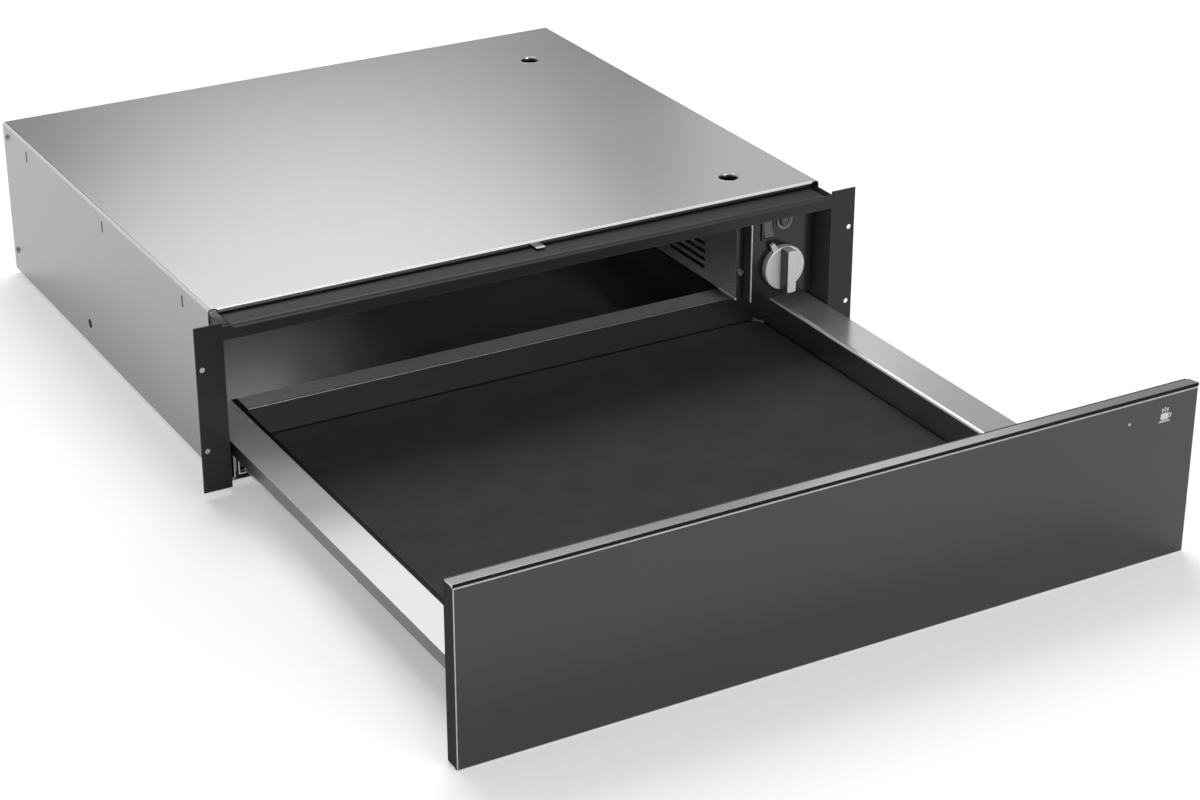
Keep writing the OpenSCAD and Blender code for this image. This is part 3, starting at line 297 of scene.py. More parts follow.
# %% Glass and its ground edge
tree, shader, coords = start_finish("grey glass")
haze = noise(tree, coords, 14, EVENLY, 3)
tree.links.new(tint(tree, haze, (0.0085, 0.009, 0.0095), (0.011, 0.0115, 0.012)),
               shader.inputs["Base Color"])
tree.links.new(level(tree, haze, 0.05, 0.09), shader.inputs["Roughness"])
shader.inputs["IOR"].default_value = 1.52
shader.inputs["Coat Weight"].default_value = 0.4
shader.inputs["Coat Roughness"].default_value = 0.03
tree, shader, coords = start_finish("ground glass edge")
grind = noise(tree, coords, 1500)
tree.links.new(tint(tree, grind, (0.42, 0.43, 0.44), (0.6, 0.61, 0.62)), shader.inputs["Base Color"])
tree.links.new(level(tree, grind, 0.2, 0.4), shader.inputs["Roughness"])
print("with the glass:", len(made))

# %% [markdown]
# ### Rubber and plastics
# The mat is rubber with a fine matt grain. The knob is silver-painted plastic, and the small
# parts are moulded in grey, black or white. They differ in grain size, gloss and depth, so
# one function with those as its settings makes them all. Wide patches vary the colour.

# %% Rubber and plastics
PATCH_SCALE = 35


def moulded(name, colour, rough, grain=0.01 * MM, scale=1200, spread=0.08, coat=0.0, gloss=0.5,
            metallic=0.0):
    tree, shader, coords = start_finish(name)
    skin = noise(tree, coords, scale, EVENLY, 3)
    patches = noise(tree, coords, PATCH_SCALE)
    tree.links.new(tint(tree, patches, shade(colour, 1 - spread), shade(colour, 1 + spread)),
                   shader.inputs["Base Color"])
    tree.links.new(level(tree, skin, rough * 0.88, rough * 1.12), shader.inputs["Roughness"])
    relief(tree, shader, skin, grain)
    shader.inputs["Coat Weight"].default_value = coat
    shader.inputs["Specular IOR Level"].default_value = gloss
    shader.inputs["Metallic"].default_value = metallic


moulded("mat rubber", (0.053, 0.053, 0.055), 0.6, 0.03 * MM, 1600, gloss=0.06)
moulded("buffer rubber", (0.02, 0.02, 0.02), 0.55, 0.03 * MM, 1400)
moulded("silver plastic", (0.68, 0.68, 0.69), 0.36, 0.006 * MM, 2200, 0.03, metallic=0.1)
# A paler plastic, a painted highlight on the knob's rim bevel and on the bead by the control plate.
moulded("painted highlight plastic", (0.8, 0.8, 0.81), 0.28, 0.006 * MM, 2200, 0.03, metallic=0.3)
# Grey plastic for the rocker; it is also painted shade on the knob grip's sides and painted light on
# the control plate's left side.
moulded("grey plastic and painted light and shade", (0.1, 0.1, 0.104), 0.38)
moulded("black plastic", (0.018, 0.018, 0.019), 0.38)
moulded("white plastic", (0.72, 0.71, 0.68), 0.4)
moulded("clear lens", (0.42, 0.42, 0.4), 0.12, 0.002 * MM, 900, 0.05, coat=0.5)
moulded("lamp lens", (0.045, 0.04, 0.036), 0.14, 0.004 * MM, 500, 0.2, coat=0.3)
moulded("lamp ring plastic", (0.2, 0.2, 0.205), 0.3)
moulded("printed grey", (0.56, 0.56, 0.57), 0.5, 0.002 * MM, 1500, 0.04)
moulded("ceramic", (0.78, 0.75, 0.68), 0.55, 0.02 * MM, 900, 0.06)
print("with the moulded parts:", len(made))

# %% [markdown]
# ### Wool, heater tube and copper
# Stone wool is a tangle of short fibres, so a noise with much detail makes its lumps and its
# threads. The heating tubes carry heat tints in bands, from straw to blue-grey. Copper
# darkens in patches.

# %% Insulation, heater tube and copper
tree, shader, coords = start_finish("stone wool")
fibres = noise(tree, coords, 420, (1, 4, 1), 6)
tree.links.new(tint(tree, fibres, (0.36, 0.33, 0.25), (0.68, 0.65, 0.55)), shader.inputs["Base Color"])
tree.links.new(level(tree, fibres, 0.85, 1.0), shader.inputs["Roughness"])
relief(tree, shader, fibres, 0.8 * MM)

tree, shader, coords = start_finish("heater tube")
bands = noise(tree, coords, 60, (1, 0.4, 0.4), 3)
tree.links.new(tint(tree, bands, (0.2, 0.19, 0.2), (0.44, 0.39, 0.33), 0.35, 0.62),
               shader.inputs["Base Color"])
tree.links.new(level(tree, bands, 0.3, 0.5), shader.inputs["Roughness"])
shader.inputs["Metallic"].default_value = 1.0

tree, shader, coords = start_finish("copper")
tarnish = noise(tree, coords, 120, EVENLY, 4)
tree.links.new(tint(tree, tarnish, (0.42, 0.2, 0.12), (0.78, 0.42, 0.28)), shader.inputs["Base Color"])
tree.links.new(level(tree, tarnish, 0.25, 0.45), shader.inputs["Roughness"])
shader.inputs["Metallic"].default_value = 1.0
print(len(made), "finishes")

# %% [markdown]
# ## Which part has which finish
# This table gives every CAD part its finish, so a part that stays as the CAD drew it is
# finished too. The pieces that are softened or modelled anew start from it as well.

# %% Finish of every CAD part
FINISH_OF = {
    "casing steel": ["casing", "rear_panel"],
    "dark powder paint": ["front_frame", "front_backing"],
    "panel enamel": ["control_panel"],
    "inner steel": ["base_pan", "heat_shield", "duct_wall", "duct_floor", "heater_plate",
                    "runner_bracket_left", "runner_bracket_right", "front_bracket_left",
                    "front_bracket_right", "fan_scroll"],
    "dark drawer steel and painted shade": ["side_channel_left", "side_channel_right", "runner_inner_left",
                          "runner_inner_right"],
    "tray steel": ["drawer_tray"],
    "tray wall steel": ["tray_rear", "tray_front"],
    "runner steel": ["runner_outer_left", "runner_outer_right", "runner_middle_left",
                     "runner_middle_right", "outer_cage_left", "outer_cage_right",
                     "inner_cage_left", "inner_cage_right", "thermostat_spindle", "fan_shaft",
                     "latch_striker"],
    "screw steel": ["duct_screws", "bracket_screws", "rear_screws"],
    "dark steel": ["fan_motor", "shield_ribs"],
    "trim aluminium": ["top_trim"],
    "grey glass": ["glass_fascia"],
    "mat rubber": ["tray_mat"],
    "buffer rubber": ["bumpers"],
    "silver plastic": ["knob"],
    "grey plastic and painted light and shade": ["rocker", "pilot_lamp"],
    "black plastic": ["switch_body", "latch_body", "cable_gland", "fan_impeller",
                      "thermal_cutout"],
    "white plastic": ["terminal_block", "latch_plunger"],
    "clear lens": ["status_lens"],
    "lamp lens": ["lamp_lens"],
    "ceramic": ["thermostat"],
    "copper": ["sensor_bulb", "capillary_tube"],
    "heater tube": ["heater_element"],
    "stone wool": ["insulation_mat"],
}
finish_name = {node: finish for finish, group in FINISH_OF.items() for node in group}
for node, part in nodes.items():
    if not part.material_slots:
        part.data.materials.append(None)
    for place in part.material_slots:
        place.material = made[finish_name[node]]
print("finished", len(finish_name), "of", len(nodes), "CAD parts")

# %% [markdown]
# ## Folds of the sheet parts
# A fold in sheet metal has a radius, and it draws a long line of light or shadow. The casing's
# top runs over a soft nose into its front lip, the front frame's rail has a round upper edge,
# and the tray's flanges roll over into its walls. The CAD keeps these bends sharp.
#
# Each row gives a fold's radius, the axis that it runs along, the two places where it ends,
# and a test that finds its edge in the mesh.


# %% Where the folds run
def long_edge_at(**places):
    """A test for long edges at the given places, in metres, left and right alike."""
    axes = {"x": 0, "y": 1, "z": 2}
    near_by = 0.15 * MM
    shortest = 60 * MM

    def test(a, b):
        near = all(abs(abs(end[axes[axis]]) - abs(place)) < near_by
                   for axis, place in places.items() for end in (a, b))
        return near and (a - b).length > shortest

    return test


X_AXIS = Vector((1, 0, 0))
Y_AXIS = Vector((0, 1, 0))
NOSE_Y, NOSE_END = 22.4 * MM, 265 * MM
RAIL_Z, RAIL_END = 133.5 * MM, 262 * MM
FLANGE_BACK, FLANGE_FRONT = 48 * MM, -413 * MM
REAR_FLANGE_END = 234 * MM
casing_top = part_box("casing")[1].z
tray_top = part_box("drawer_tray")[1].z
tray_wall_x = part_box("tray_rear")[1].x
FOLDS = {
    "casing": (2.0 * MM, X_AXIS, NOSE_END, -NOSE_END, long_edge_at(y=NOSE_Y, z=casing_top)),
    "front_frame": (3.2 * MM, X_AXIS, RAIL_END, -RAIL_END,
                    long_edge_at(y=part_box("front_frame")[0].y, z=RAIL_Z)),
    "drawer_tray": (3.0 * MM, Y_AXIS, FLANGE_BACK, FLANGE_FRONT,
                    long_edge_at(x=tray_wall_x, z=tray_top)),
    "tray_rear": (1.2 * MM, X_AXIS, REAR_FLANGE_END, -REAR_FLANGE_END,
                  long_edge_at(y=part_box("tray_rear")[0].y, z=tray_top)),
}
print("folds on", sorted(FOLDS))

# %% [markdown]
# ## Softened sheet parts
# On the painted parts, the brighter edge finish is worn paint and a painted highlight.
# A punched edge is slightly rounded and bright. The CAD part itself is left alone: a copy of
# its mesh is merged, its flat faces are joined again, and the copy stands for it. A fold is
# cut across at both its ends first, so that the bevel that rounds it ends cleanly there. Then
# a small bevel goes round every other edge, with a brighter finish, as a cut edge has.
#
# A flat face with many holes is one long outline that touches itself, and it can be filled
# wrongly. So in the parts with slots such faces are split into simple ones before the bevel.

# %% Softening a CAD part
SAME_CORNER = 0.002 * MM
FLAT_WITHIN = math.radians(0.5)
SLOTTED = ("rear_panel", "duct_wall", "front_frame")


def join_flat_faces():
    """In edit mode, merges doubled corners and joins the triangles of each flat face."""
    bpy.ops.mesh.select_all(action="SELECT")
    bpy.ops.mesh.remove_doubles(threshold=SAME_CORNER)
    bpy.ops.mesh.dissolve_limited(angle_limit=FLAT_WITHIN)
    bpy.ops.mesh.normals_make_consistent(inside=False)


def round_fold(radius, along, first, last, test):
    """In edit mode, rounds the long edges that pass the test, between the two places."""
    for place in (first, last):
        bpy.ops.mesh.select_all(action="SELECT")
        bpy.ops.mesh.bisect(plane_co=along * place, plane_no=along)
    pick("edges", test)
    print(bpy.context.object.name, "fold edges:", bpy.context.object.data.total_edge_sel)
    bpy.ops.mesh.bevel(offset=radius, segments=5, affect="EDGES")
    join_flat_faces()


def softened(node, name, body, slot, width, edge=None, angle=30):
    """A copy of a CAD part with soft edges, width in millimetres. It stands for the part."""
    select_only(nodes[node])
    piece = nodes[node].copy()
    piece.data = nodes[node].data.copy()
    for key in [key for key in piece.keys() if key.startswith("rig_")]:
        del piece[key]
    piece.parent = None
    piece.name = name
    piece.data.name = name
    bpy.context.scene.collection.objects.link(piece)
    select_only(piece)
    bpy.ops.object.mode_set(mode="EDIT")
    join_flat_faces()
    if node in FOLDS:
        round_fold(*FOLDS[node])
    if node in SLOTTED:
        bpy.ops.mesh.vert_connect_concave()
    bpy.ops.object.mode_set(mode="OBJECT")
    piece.data.materials.clear()
    piece.data.materials.append(made[finish_name[node]])
    piece.data.materials.append(made[edge or finish_name[node]])
    soft_edges(piece, width * MM, angle=angle, finish=1)
    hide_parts(node)
    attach(piece, body)
    return piece


# %% [markdown]
# ### The parts that get soft edges
# Each row names the CAD part, the new piece, the body it rides on, its material slot, the
# bevel's width in millimetres and the finish of its edges.

# %% Softening the parts that show
SOFT_PARTS = [
    ("casing", "casing_shell", "housing", "casing_steel", 0.25, "cut steel edge"),
    ("rear_panel", "rear_wall", "housing", "casing_steel", 0.2, "cut steel edge"),
    ("base_pan", "base_sheet", "housing", "casing_steel", 0.25, "cut steel edge"),
    # The painted parts' edges take worn paint, which is also a painted highlight.
    ("front_frame", "front_frame_painted", "housing", "dark_enamel", 0.22, "worn paint and painted highlight"),
    ("duct_wall", "duct_side", "housing", "bright_steel", 0.15, None),
    ("control_panel", "control_plate", "housing", "dark_enamel", 0.25, "cut steel edge"),
    ("drawer_tray", "pressed_tray", "drawer", "tray_steel", 0.35, "cut steel edge"),
    ("tray_rear", "tray_back", "drawer", "tray_steel", 0.35, "cut steel edge"),
    ("tray_front", "tray_front_wall", "drawer", "tray_steel", 0.3, "cut steel edge"),
    ("front_backing", "panel_backing", "drawer", "dark_enamel", 0.3, "worn paint and painted highlight"),
]
for side in ("left", "right"):
    SOFT_PARTS += [
        (f"runner_outer_{side}", f"outer_rail_{side}", "housing", "runner_steel", 0.3, None),
        (f"runner_middle_{side}", f"middle_rail_{side}", f"middle_{side}", "runner_steel", 0.3, None),
        (f"runner_inner_{side}", f"inner_rail_{side}", "drawer", "runner_steel", 0.3, None),
        (f"side_channel_{side}", f"tray_channel_{side}", "drawer", "bright_steel", 0.25, None),
        (f"runner_bracket_{side}", f"rail_bracket_{side}", "housing", "bright_steel", 0.25, None),
        (f"front_bracket_{side}", f"panel_bracket_{side}", "drawer", "bright_steel", 0.25, None),
    ]
soft = {part[0]: softened(*part) for part in SOFT_PARTS}
print("softened", len(soft), "parts")

# %% [markdown]
# ## Faces with a finish of their own
# One piece can carry several finishes, so after the bevel some faces get another one, found by
# where they lie and where they look. Each part of a face's normal tells how far it looks along
# that axis, from 1, straight along it, to 0. Three limits are named: above the first a face
# looks along the axis well enough, above the second it does so exactly, which leaves out all
# facets of a fold, and those facets stay under the third.


# %% Finishing single faces
LOOKS_ALONG = 0.9
SQUARE_TO = 0.999
FOLD_FACET = 0.97


def finish_faces(piece, finish, test):
    piece.data.materials.append(made[finish])
    index = len(piece.data.materials) - 1
    chosen = [face for face in piece.data.polygons if test(face.center, face.normal)]
    for face in chosen:
        face.material_index = index
    print(piece.name, finish, len(chosen), "faces")


# %% [markdown]
# ### The tray
# The tray's flanges are satin, its upright walls are polished, and its side lips carry the
# runners' dull grey. Along the left flange's inner fold runs a dark strip of painted shade, where
# the steel turns away from the light. The mesh has no edge there, so it is cut across first.
# The right flange's fold carries a painted highlight, and the rear flange's front fold painted
# shade.

# %% Faces of the tray
FOLD_SHADE = 5.2 * MM
SHEET_REACH = 1.2 * MM
FOLD_REACH = 3.1 * MM
MAT_LEVEL = 30 * MM
tray = soft["drawer_tray"]
tray_side_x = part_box("drawer_tray")[1].x
select_only(tray)
bpy.ops.object.mode_set(mode="EDIT")
bpy.ops.mesh.select_all(action="SELECT")
bpy.ops.mesh.bisect(plane_co=-X_AXIS * (tray_wall_x + FOLD_SHADE), plane_no=X_AXIS)
bpy.ops.object.mode_set(mode="OBJECT")
flat_and_smooth(tray)
finish_faces(tray, "dark drawer steel and painted shade", lambda middle, normal:
             abs(middle.x) > tray_side_x - SHEET_REACH and abs(normal.z) < 0.5)
finish_faces(tray, "tray wall steel", lambda middle, normal:
             abs(middle.x) < tray_wall_x + SHEET_REACH and abs(normal.x) > LOOKS_ALONG)
finish_faces(tray, "satin steel", lambda middle, normal:
             middle.x < -tray_wall_x and normal.z > SQUARE_TO)
# Painted shade: a dark strip along the left flange's inner fold.
finish_faces(tray, "painted shade black", lambda middle, normal:
             0 < -middle.x < tray_wall_x + FOLD_SHADE and -0.1 < normal.x < FOLD_FACET
             and middle.z > MAT_LEVEL)
# Painted highlight on the right flange's fold.
finish_faces(tray, "painted highlight steel", lambda middle, normal:
             0 < middle.x < tray_wall_x + FOLD_REACH and 0.5 < -normal.x < FOLD_FACET)
finish_faces(soft["tray_rear"], "satin steel", lambda middle, normal: normal.z > LOOKS_ALONG)
# Painted shade on the rear flange's front fold.
finish_faces(soft["tray_rear"], "dark drawer steel and painted shade", lambda middle, normal:
             0.2 < -normal.y < FOLD_FACET and normal.z > 0.2)

# %% [markdown]
# ### The casing, the front frame and the plates
# The casing's nose and side bends carry painted highlights, the brightest lines of the whole
# object, its sides carry painted shade that makes them a little darker than its top, and the
# walls of the slots for the ribs' tabs are painted dark as shade. On the front frame, the fold
# and the inner side of the right jamb carry painted light, and the ledge behind the rail painted
# shade. The duct wall's front flange and the sides of the glass's backing plate are painted
# darker as shade, and the control plate's left side is painted a lighter grey as light.

# %% Faces of the casing
NOSE_BACK = 26 * MM
BEND_LEVEL = 136 * MM
SLOT_X, SLOT_REACH = -272.5 * MM, 0.4 * MM
SLOT_LOW, SLOT_HIGH = 90 * MM, 135 * MM
SLOT_FIRST, SLOT_LAST = 40 * MM, 480 * MM
casing = soft["casing"]
# Painted highlight on the casing's nose.
finish_faces(casing, "painted highlight steel", lambda middle, normal:
             middle.y < NOSE_BACK and normal.y < -0.15 and normal.z > 0.15)
# Painted highlight on the casing's side bends.
finish_faces(casing, "painted highlight steel", lambda middle, normal:
             middle.z > BEND_LEVEL and 0.3 < abs(normal.x) < FOLD_FACET)
# Painted shade: dark walls in the slots for the ribs' tabs.
finish_faces(casing, "painted shade black", lambda middle, normal:
             abs(middle.x - SLOT_X) < SLOT_REACH and abs(normal.x) < 0.5
             and SLOT_LOW < middle.z < SLOT_HIGH and SLOT_FIRST < middle.y < SLOT_LAST)
# Painted shade on the casing's sides.
finish_faces(casing, "casing steel with painted shade", lambda middle, normal: abs(normal.x) > 0.99)

# %% Faces of the front frame and the plates
RAIL_LEVEL = 129 * MM
LEDGE_LEVEL = 130 * MM
JAMB_X = 250 * MM
front = soft["front_frame"]
# Painted highlight on the rail's rounded fold.
finish_faces(front, "painted highlight powder paint", lambda middle, normal:
             middle.z > RAIL_LEVEL and normal.y < -0.02 and 0.02 < normal.z < SQUARE_TO)
# Painted light on the inner side of the right jamb.
finish_faces(front, "worn paint and painted highlight", lambda middle, normal:
             middle.x > JAMB_X and normal.x < -LOOKS_ALONG)
# Painted shade on the ledge behind the rail.
finish_faces(front, "painted shade ledge paint", lambda middle, normal:
             middle.z > LEDGE_LEVEL and normal.z > SQUARE_TO)
# Painted light: the control plate's left side in a lighter grey.
finish_faces(soft["control_panel"], "grey plastic and painted light and shade", lambda middle, normal: normal.x < -LOOKS_ALONG)
# Painted shade on the duct wall's front flange.
finish_faces(soft["duct_wall"], "dark drawer steel and painted shade", lambda middle, normal: normal.y < -LOOKS_ALONG)
# Painted shade on the backing plate's sides.
finish_faces(soft["front_backing"], "painted shade black",
             lambda middle, normal: abs(normal.x) > LOOKS_ALONG)

# %% [markdown]
# ## Starting a new piece
# A piece that is modelled anew starts as a box between two corners or as a round bar. Both
# are put at their place and size at once, and then the place is moved into the mesh, because
# a finished piece has its object at the origin, unturned and unscaled.


# %% Boxes and round bars
def place_in_mesh(name):
    """Names the new piece and moves its place from the object into the mesh."""
    piece = bpy.context.object
    piece.name = name
    piece.data.name = name
    bpy.ops.object.transform_apply(location=True, rotation=True, scale=True)
    return piece


def slab(name, low, high):
    """A box between two corners, to be shaped further."""
    low, high = Vector(low), Vector(high)
    bpy.ops.object.select_all(action="DESELECT")
    bpy.ops.mesh.primitive_cube_add(size=1, location=(low + high) / 2, scale=high - low)
    return place_in_mesh(name)


def round_bar(name, middle, radius, length, turn=(math.pi / 2, 0, 0), sides=96):
    """A round bar, along Y unless it is turned, to be shaped further."""
    bpy.ops.object.select_all(action="DESELECT")
    bpy.ops.mesh.primitive_cylinder_add(
        vertices=sides, radius=radius, depth=length, location=middle, rotation=turn
    )
    return place_in_mesh(name)


# %% [markdown]
# ## The glass front
# It is a 4 mm pane with ground and polished edges, and a small hole for the lamp window.
# A slab is cut to size, its edges are bevelled with the ground finish, and a round bar cuts
# the hole by a boolean, as a drill would.

# %% Glass front
CHAMFER = 0.8 * MM
HOLE_R = 1.25 * MM
FRONT_GAP = 0.05 * MM
glass_low, glass_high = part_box("glass_fascia")
lens_low, lens_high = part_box("status_lens")
lens_mid = (lens_low + lens_high) / 2
glass = slab("glass_front", glass_low + Vector((0, FRONT_GAP, 0)), glass_high)
glass.data.materials.append(made["grey glass"])
glass.data.materials.append(made["ground glass edge"])
soft_edges(glass, CHAMFER, 3, 30, 1)
# Painted shade: the glass's left and right edges in near black.
finish_faces(glass, "painted shade black", lambda middle, normal: abs(normal.x) > 0.95)
drill = round_bar("drill", lens_mid, HOLE_R, 20 * MM, sides=32)
apply_modifier(glass, "BOOLEAN", operation="DIFFERENCE", object=drill, solver="EXACT")
bpy.data.objects.remove(drill)
flat_and_smooth(glass)
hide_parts("glass_fascia")
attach(glass, "drawer")
print("glass front", in_mm(glass.dimensions))

# %% [markdown]
# ### The lamp window
# The hole is closed by a small clear plug, whose front is dished so that it doesn't stand
# proud of the glass. It is a short round bar with its face inset and pushed in.

# %% Lamp window in the glass
WINDOW_R = 1.18 * MM
WINDOW_RIM, WINDOW_DISH = 0.35 * MM, 0.3 * MM
lens = round_bar("status_window", lens_mid, WINDOW_R, (lens_high - lens_low).y, sides=32)
select_only(lens)
bpy.ops.object.mode_set(mode="EDIT")
pick("faces", lambda middle, normal: normal.y < -LOOKS_ALONG)
bpy.ops.mesh.inset(thickness=WINDOW_RIM)
bpy.ops.transform.translate(value=(0, WINDOW_DISH, 0))
bpy.ops.object.mode_set(mode="OBJECT")
lens.data.materials.append(made["clear lens"])
soft_edges(lens, 0.08 * MM)
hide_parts("status_lens")
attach(lens, "drawer")
print("lamp window", in_mm(lens.dimensions))

# %% [markdown]
# ## The trim strip
# An extruded aluminium strip caps the panel. Its top falls a little to the rear, and its
# front face is painted black as the shade of the joint above the glass. A shallow step
# runs along its underside. A slab is enough to start from: its rear upper edge is lowered, and
# its lower face is inset and pushed up.

# %% Trim strip
TRIM_FALL = 1.6 * MM
STEP_IN, STEP_UP = 0.8 * MM, 0.4 * MM
SHADED_FRONT_REACH = 0.5 * MM
trim_low, trim_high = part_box("top_trim")
trim = slab("trim_strip", trim_low, trim_high)
select_only(trim)
bpy.ops.object.mode_set(mode="EDIT")
pick("edges", lambda a, b: min(a.y, b.y) > trim_high.y - MM and min(a.z, b.z) > trim_high.z - MM)
bpy.ops.transform.translate(value=(0, 0, -TRIM_FALL))
pick("faces", lambda middle, normal: normal.z < -LOOKS_ALONG)
bpy.ops.mesh.inset(thickness=STEP_IN)
bpy.ops.transform.translate(value=(0, 0, STEP_UP))
bpy.ops.object.mode_set(mode="OBJECT")
trim.data.materials.append(made["trim aluminium"])
soft_edges(trim, 0.15 * MM)
# Painted shade: the front face in near black, as the joint above the glass.
finish_faces(trim, "painted shade black",
             lambda middle, normal: normal.y < -0.4 and middle.y < trim_low.y + SHADED_FRONT_REACH)
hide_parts("top_trim")
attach(trim, "drawer")
print("trim strip", in_mm(trim.dimensions))

# %% [markdown]
# ## The mat
# An anti-slip mat lies on the tray's floor. It is cut from sheet, so its corners are
# rounded and its rim is soft. The upright corner edges are bevelled wide, then all edges
# a little.

# %% Anti-slip mat
MAT_CORNER_R = 7 * MM
mat = slab("floor_mat", *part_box("tray_mat"))
select_only(mat)
bpy.ops.object.mode_set(mode="EDIT")
pick("edges", lambda a, b: abs(a.z - b.z) > MM)
bpy.ops.mesh.bevel(offset=MAT_CORNER_R, segments=8, affect="EDGES")
bpy.ops.object.mode_set(mode="OBJECT")
mat.data.materials.append(made["mat rubber"])
soft_edges(mat, 0.5 * MM, 3)
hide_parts("tray_mat")
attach(mat, "drawer")
print("mat", in_mm(mat.dimensions))

# %% [markdown]
# ## The knob
# The knob has a flat disc, a pointer on its rim and a straight grip bar with round ends. The
# disc's front rim is bevelled, and a shallow ring runs inside it.

# %% The knob's disc
knob_low, knob_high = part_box("knob")
spindle_low, spindle_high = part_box("thermostat_spindle")
axis = (spindle_low + spindle_high) / 2
DISC_BACK = knob_high.y
DISC_R = 19.2 * MM
DISC_T = 5.4 * MM
disc_middle = (axis.x, DISC_BACK - DISC_T / 2, axis.z)
disc = round_bar("knob_disc", disc_middle, DISC_R, DISC_T, sides=128)
select_only(disc)
bpy.ops.object.mode_set(mode="EDIT")
pick("faces", lambda middle, normal: normal.y < -LOOKS_ALONG)
for ring_width, ring_move in ((1.4 * MM, -0.5 * MM), (1.2 * MM, 0.4 * MM)):
    bpy.ops.mesh.inset(thickness=ring_width)
    bpy.ops.transform.translate(value=(0, ring_move, 0))
bpy.ops.object.mode_set(mode="OBJECT")
print("knob disc", in_mm(disc.dimensions))

# %% [markdown]
# ### The grip bar
# The bar's round ends keep the disc's curve. So it starts as a round bar of nearly the disc's
# size, and two bisecting planes cut it down to the bar's width.

# %% The knob's grip
GRIP_R = 18.8 * MM
GRIP_HALF = 4.4 * MM
grip_back = DISC_BACK - 2 * MM
grip = round_bar("knob_grip", (axis.x, (knob_low.y + grip_back) / 2, axis.z), GRIP_R,
                 grip_back - knob_low.y, sides=128)
select_only(grip)
bpy.ops.object.mode_set(mode="EDIT")
for sign in (-1, 1):
    bpy.ops.mesh.select_all(action="SELECT")
    bpy.ops.mesh.bisect(plane_co=(axis.x + sign * GRIP_HALF, 0, 0), plane_no=(sign, 0, 0),
                        use_fill=True, clear_outer=True)
bpy.ops.object.mode_set(mode="OBJECT")
soft_edges(grip, 0.7 * MM, 3, 40)
print("knob grip", in_mm(grip.dimensions))

# %% [markdown]
# ### The pointer
# The pointer is a short wedge on the rim that narrows outwards. It is shaped upright, with its
# outer face made half as wide, and then turned to its place. The three parts are one moulding
# on the real knob, so they are joined.

# %% Pointer and joining the knob
POINTER_TURN = math.radians(28)
POINTER_HALF, POINTER_HALF_T = 4 * MM, 1.8 * MM
POINTER_IN, POINTER_OUT = 10 * MM, 25.5 * MM
pointer = slab("knob_pointer", (-POINTER_HALF, -POINTER_HALF_T, POINTER_IN),
               (POINTER_HALF, POINTER_HALF_T, POINTER_OUT))
select_only(pointer)
bpy.ops.object.mode_set(mode="EDIT")
pick("faces", lambda middle, normal: normal.z > LOOKS_ALONG)
bpy.ops.transform.resize(value=(0.5, 1, 1))
bpy.ops.object.mode_set(mode="OBJECT")
pointer.rotation_euler = (0, -POINTER_TURN, 0)
pointer.location = disc_middle
bpy.ops.object.transform_apply(location=True, rotation=True, scale=True)
soft_edges(pointer, 0.5 * MM)
for piece in (disc, grip, pointer):
    piece.data.materials.append(made["silver plastic"])
    piece.data.materials.append(made["painted highlight plastic"])
# Painted shade: the grip's sides in dark grey.
finish_faces(grip, "grey plastic and painted light and shade", lambda middle, normal: abs(normal.x) > 0.6)
# The disc's bevel takes the paler plastic, a painted highlight on its rim.
soft_edges(disc, 0.3 * MM, 2, 25, 1)
select_only(disc, grip, pointer)
bpy.ops.object.join()
knob = bpy.context.object
knob.name = "control_knob"
knob.data.name = "control_knob"
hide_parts("knob")
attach(knob, "knob_set")
print("knob", in_mm(knob.dimensions))

# %% [markdown]
# ## Edge bead and hem beside the control plate
# A pale bead is clipped on the plate's left edge, and the duct wall's lower edge is rolled into
# a small hem near its front end. Both are round bars, slimmed and softened, and both are pale
# as painted highlights.

# %% Bead and hem
BEAD_R = 0.7 * MM
HEM_R, HEM_L = 1.0 * MM, 26 * MM
plate_low, plate_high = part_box("control_panel")
duct_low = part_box("duct_wall")[0]
bead = round_bar("plate_bead", (plate_low.x - 0.1 * MM, plate_low.y + 0.4 * MM,
                                (plate_low.z + plate_high.z) / 2),
                 BEAD_R, plate_high.z - plate_low.z, (0, 0, 0), 24)
hem = round_bar("duct_hem", (duct_low.x, duct_low.y + HEM_L / 2, duct_low.z + 0.2 * MM),
                HEM_R, HEM_L, sides=24)
# Both take pale finishes as painted highlights.
for piece, finish, slot in ((bead, "painted highlight plastic", "silver_plastic"),
                            (hem, "painted highlight steel", "bright_steel")):
    piece.data.materials.append(made[finish])
    soft_edges(piece, 0.2 * MM, 2, 40)
    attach(piece, "housing")
print("bead", in_mm(bead.dimensions), "hem", in_mm(hem.dimensions))

# %% [markdown]
# ## The rocker and its frame
# Both are plain mouldings, whose wedge and opening the CAD already has. So they are softened
# copies. The rocker's slope is shallow, and a smaller angle lets the bevel find its ridge.

# %% Rocker switch
rocker = softened("rocker", "rocker_key_cap", "rocker_key", "grey_plastic", 0.4, None, 20)
switch = softened("switch_body", "switch_frame", "housing", "black_plastic", 0.3, None)
print("rocker", in_mm(rocker.dimensions), "switch frame", in_mm(switch.dimensions))

# %% [markdown]
# ## The pilot lamp
# It has a ring-shaped bezel round a domed lens. The bezel is a short cylinder whose face is
# inset and pushed in. Its rear face is inset too, and drawn out into the lamp's body behind
# the plate.

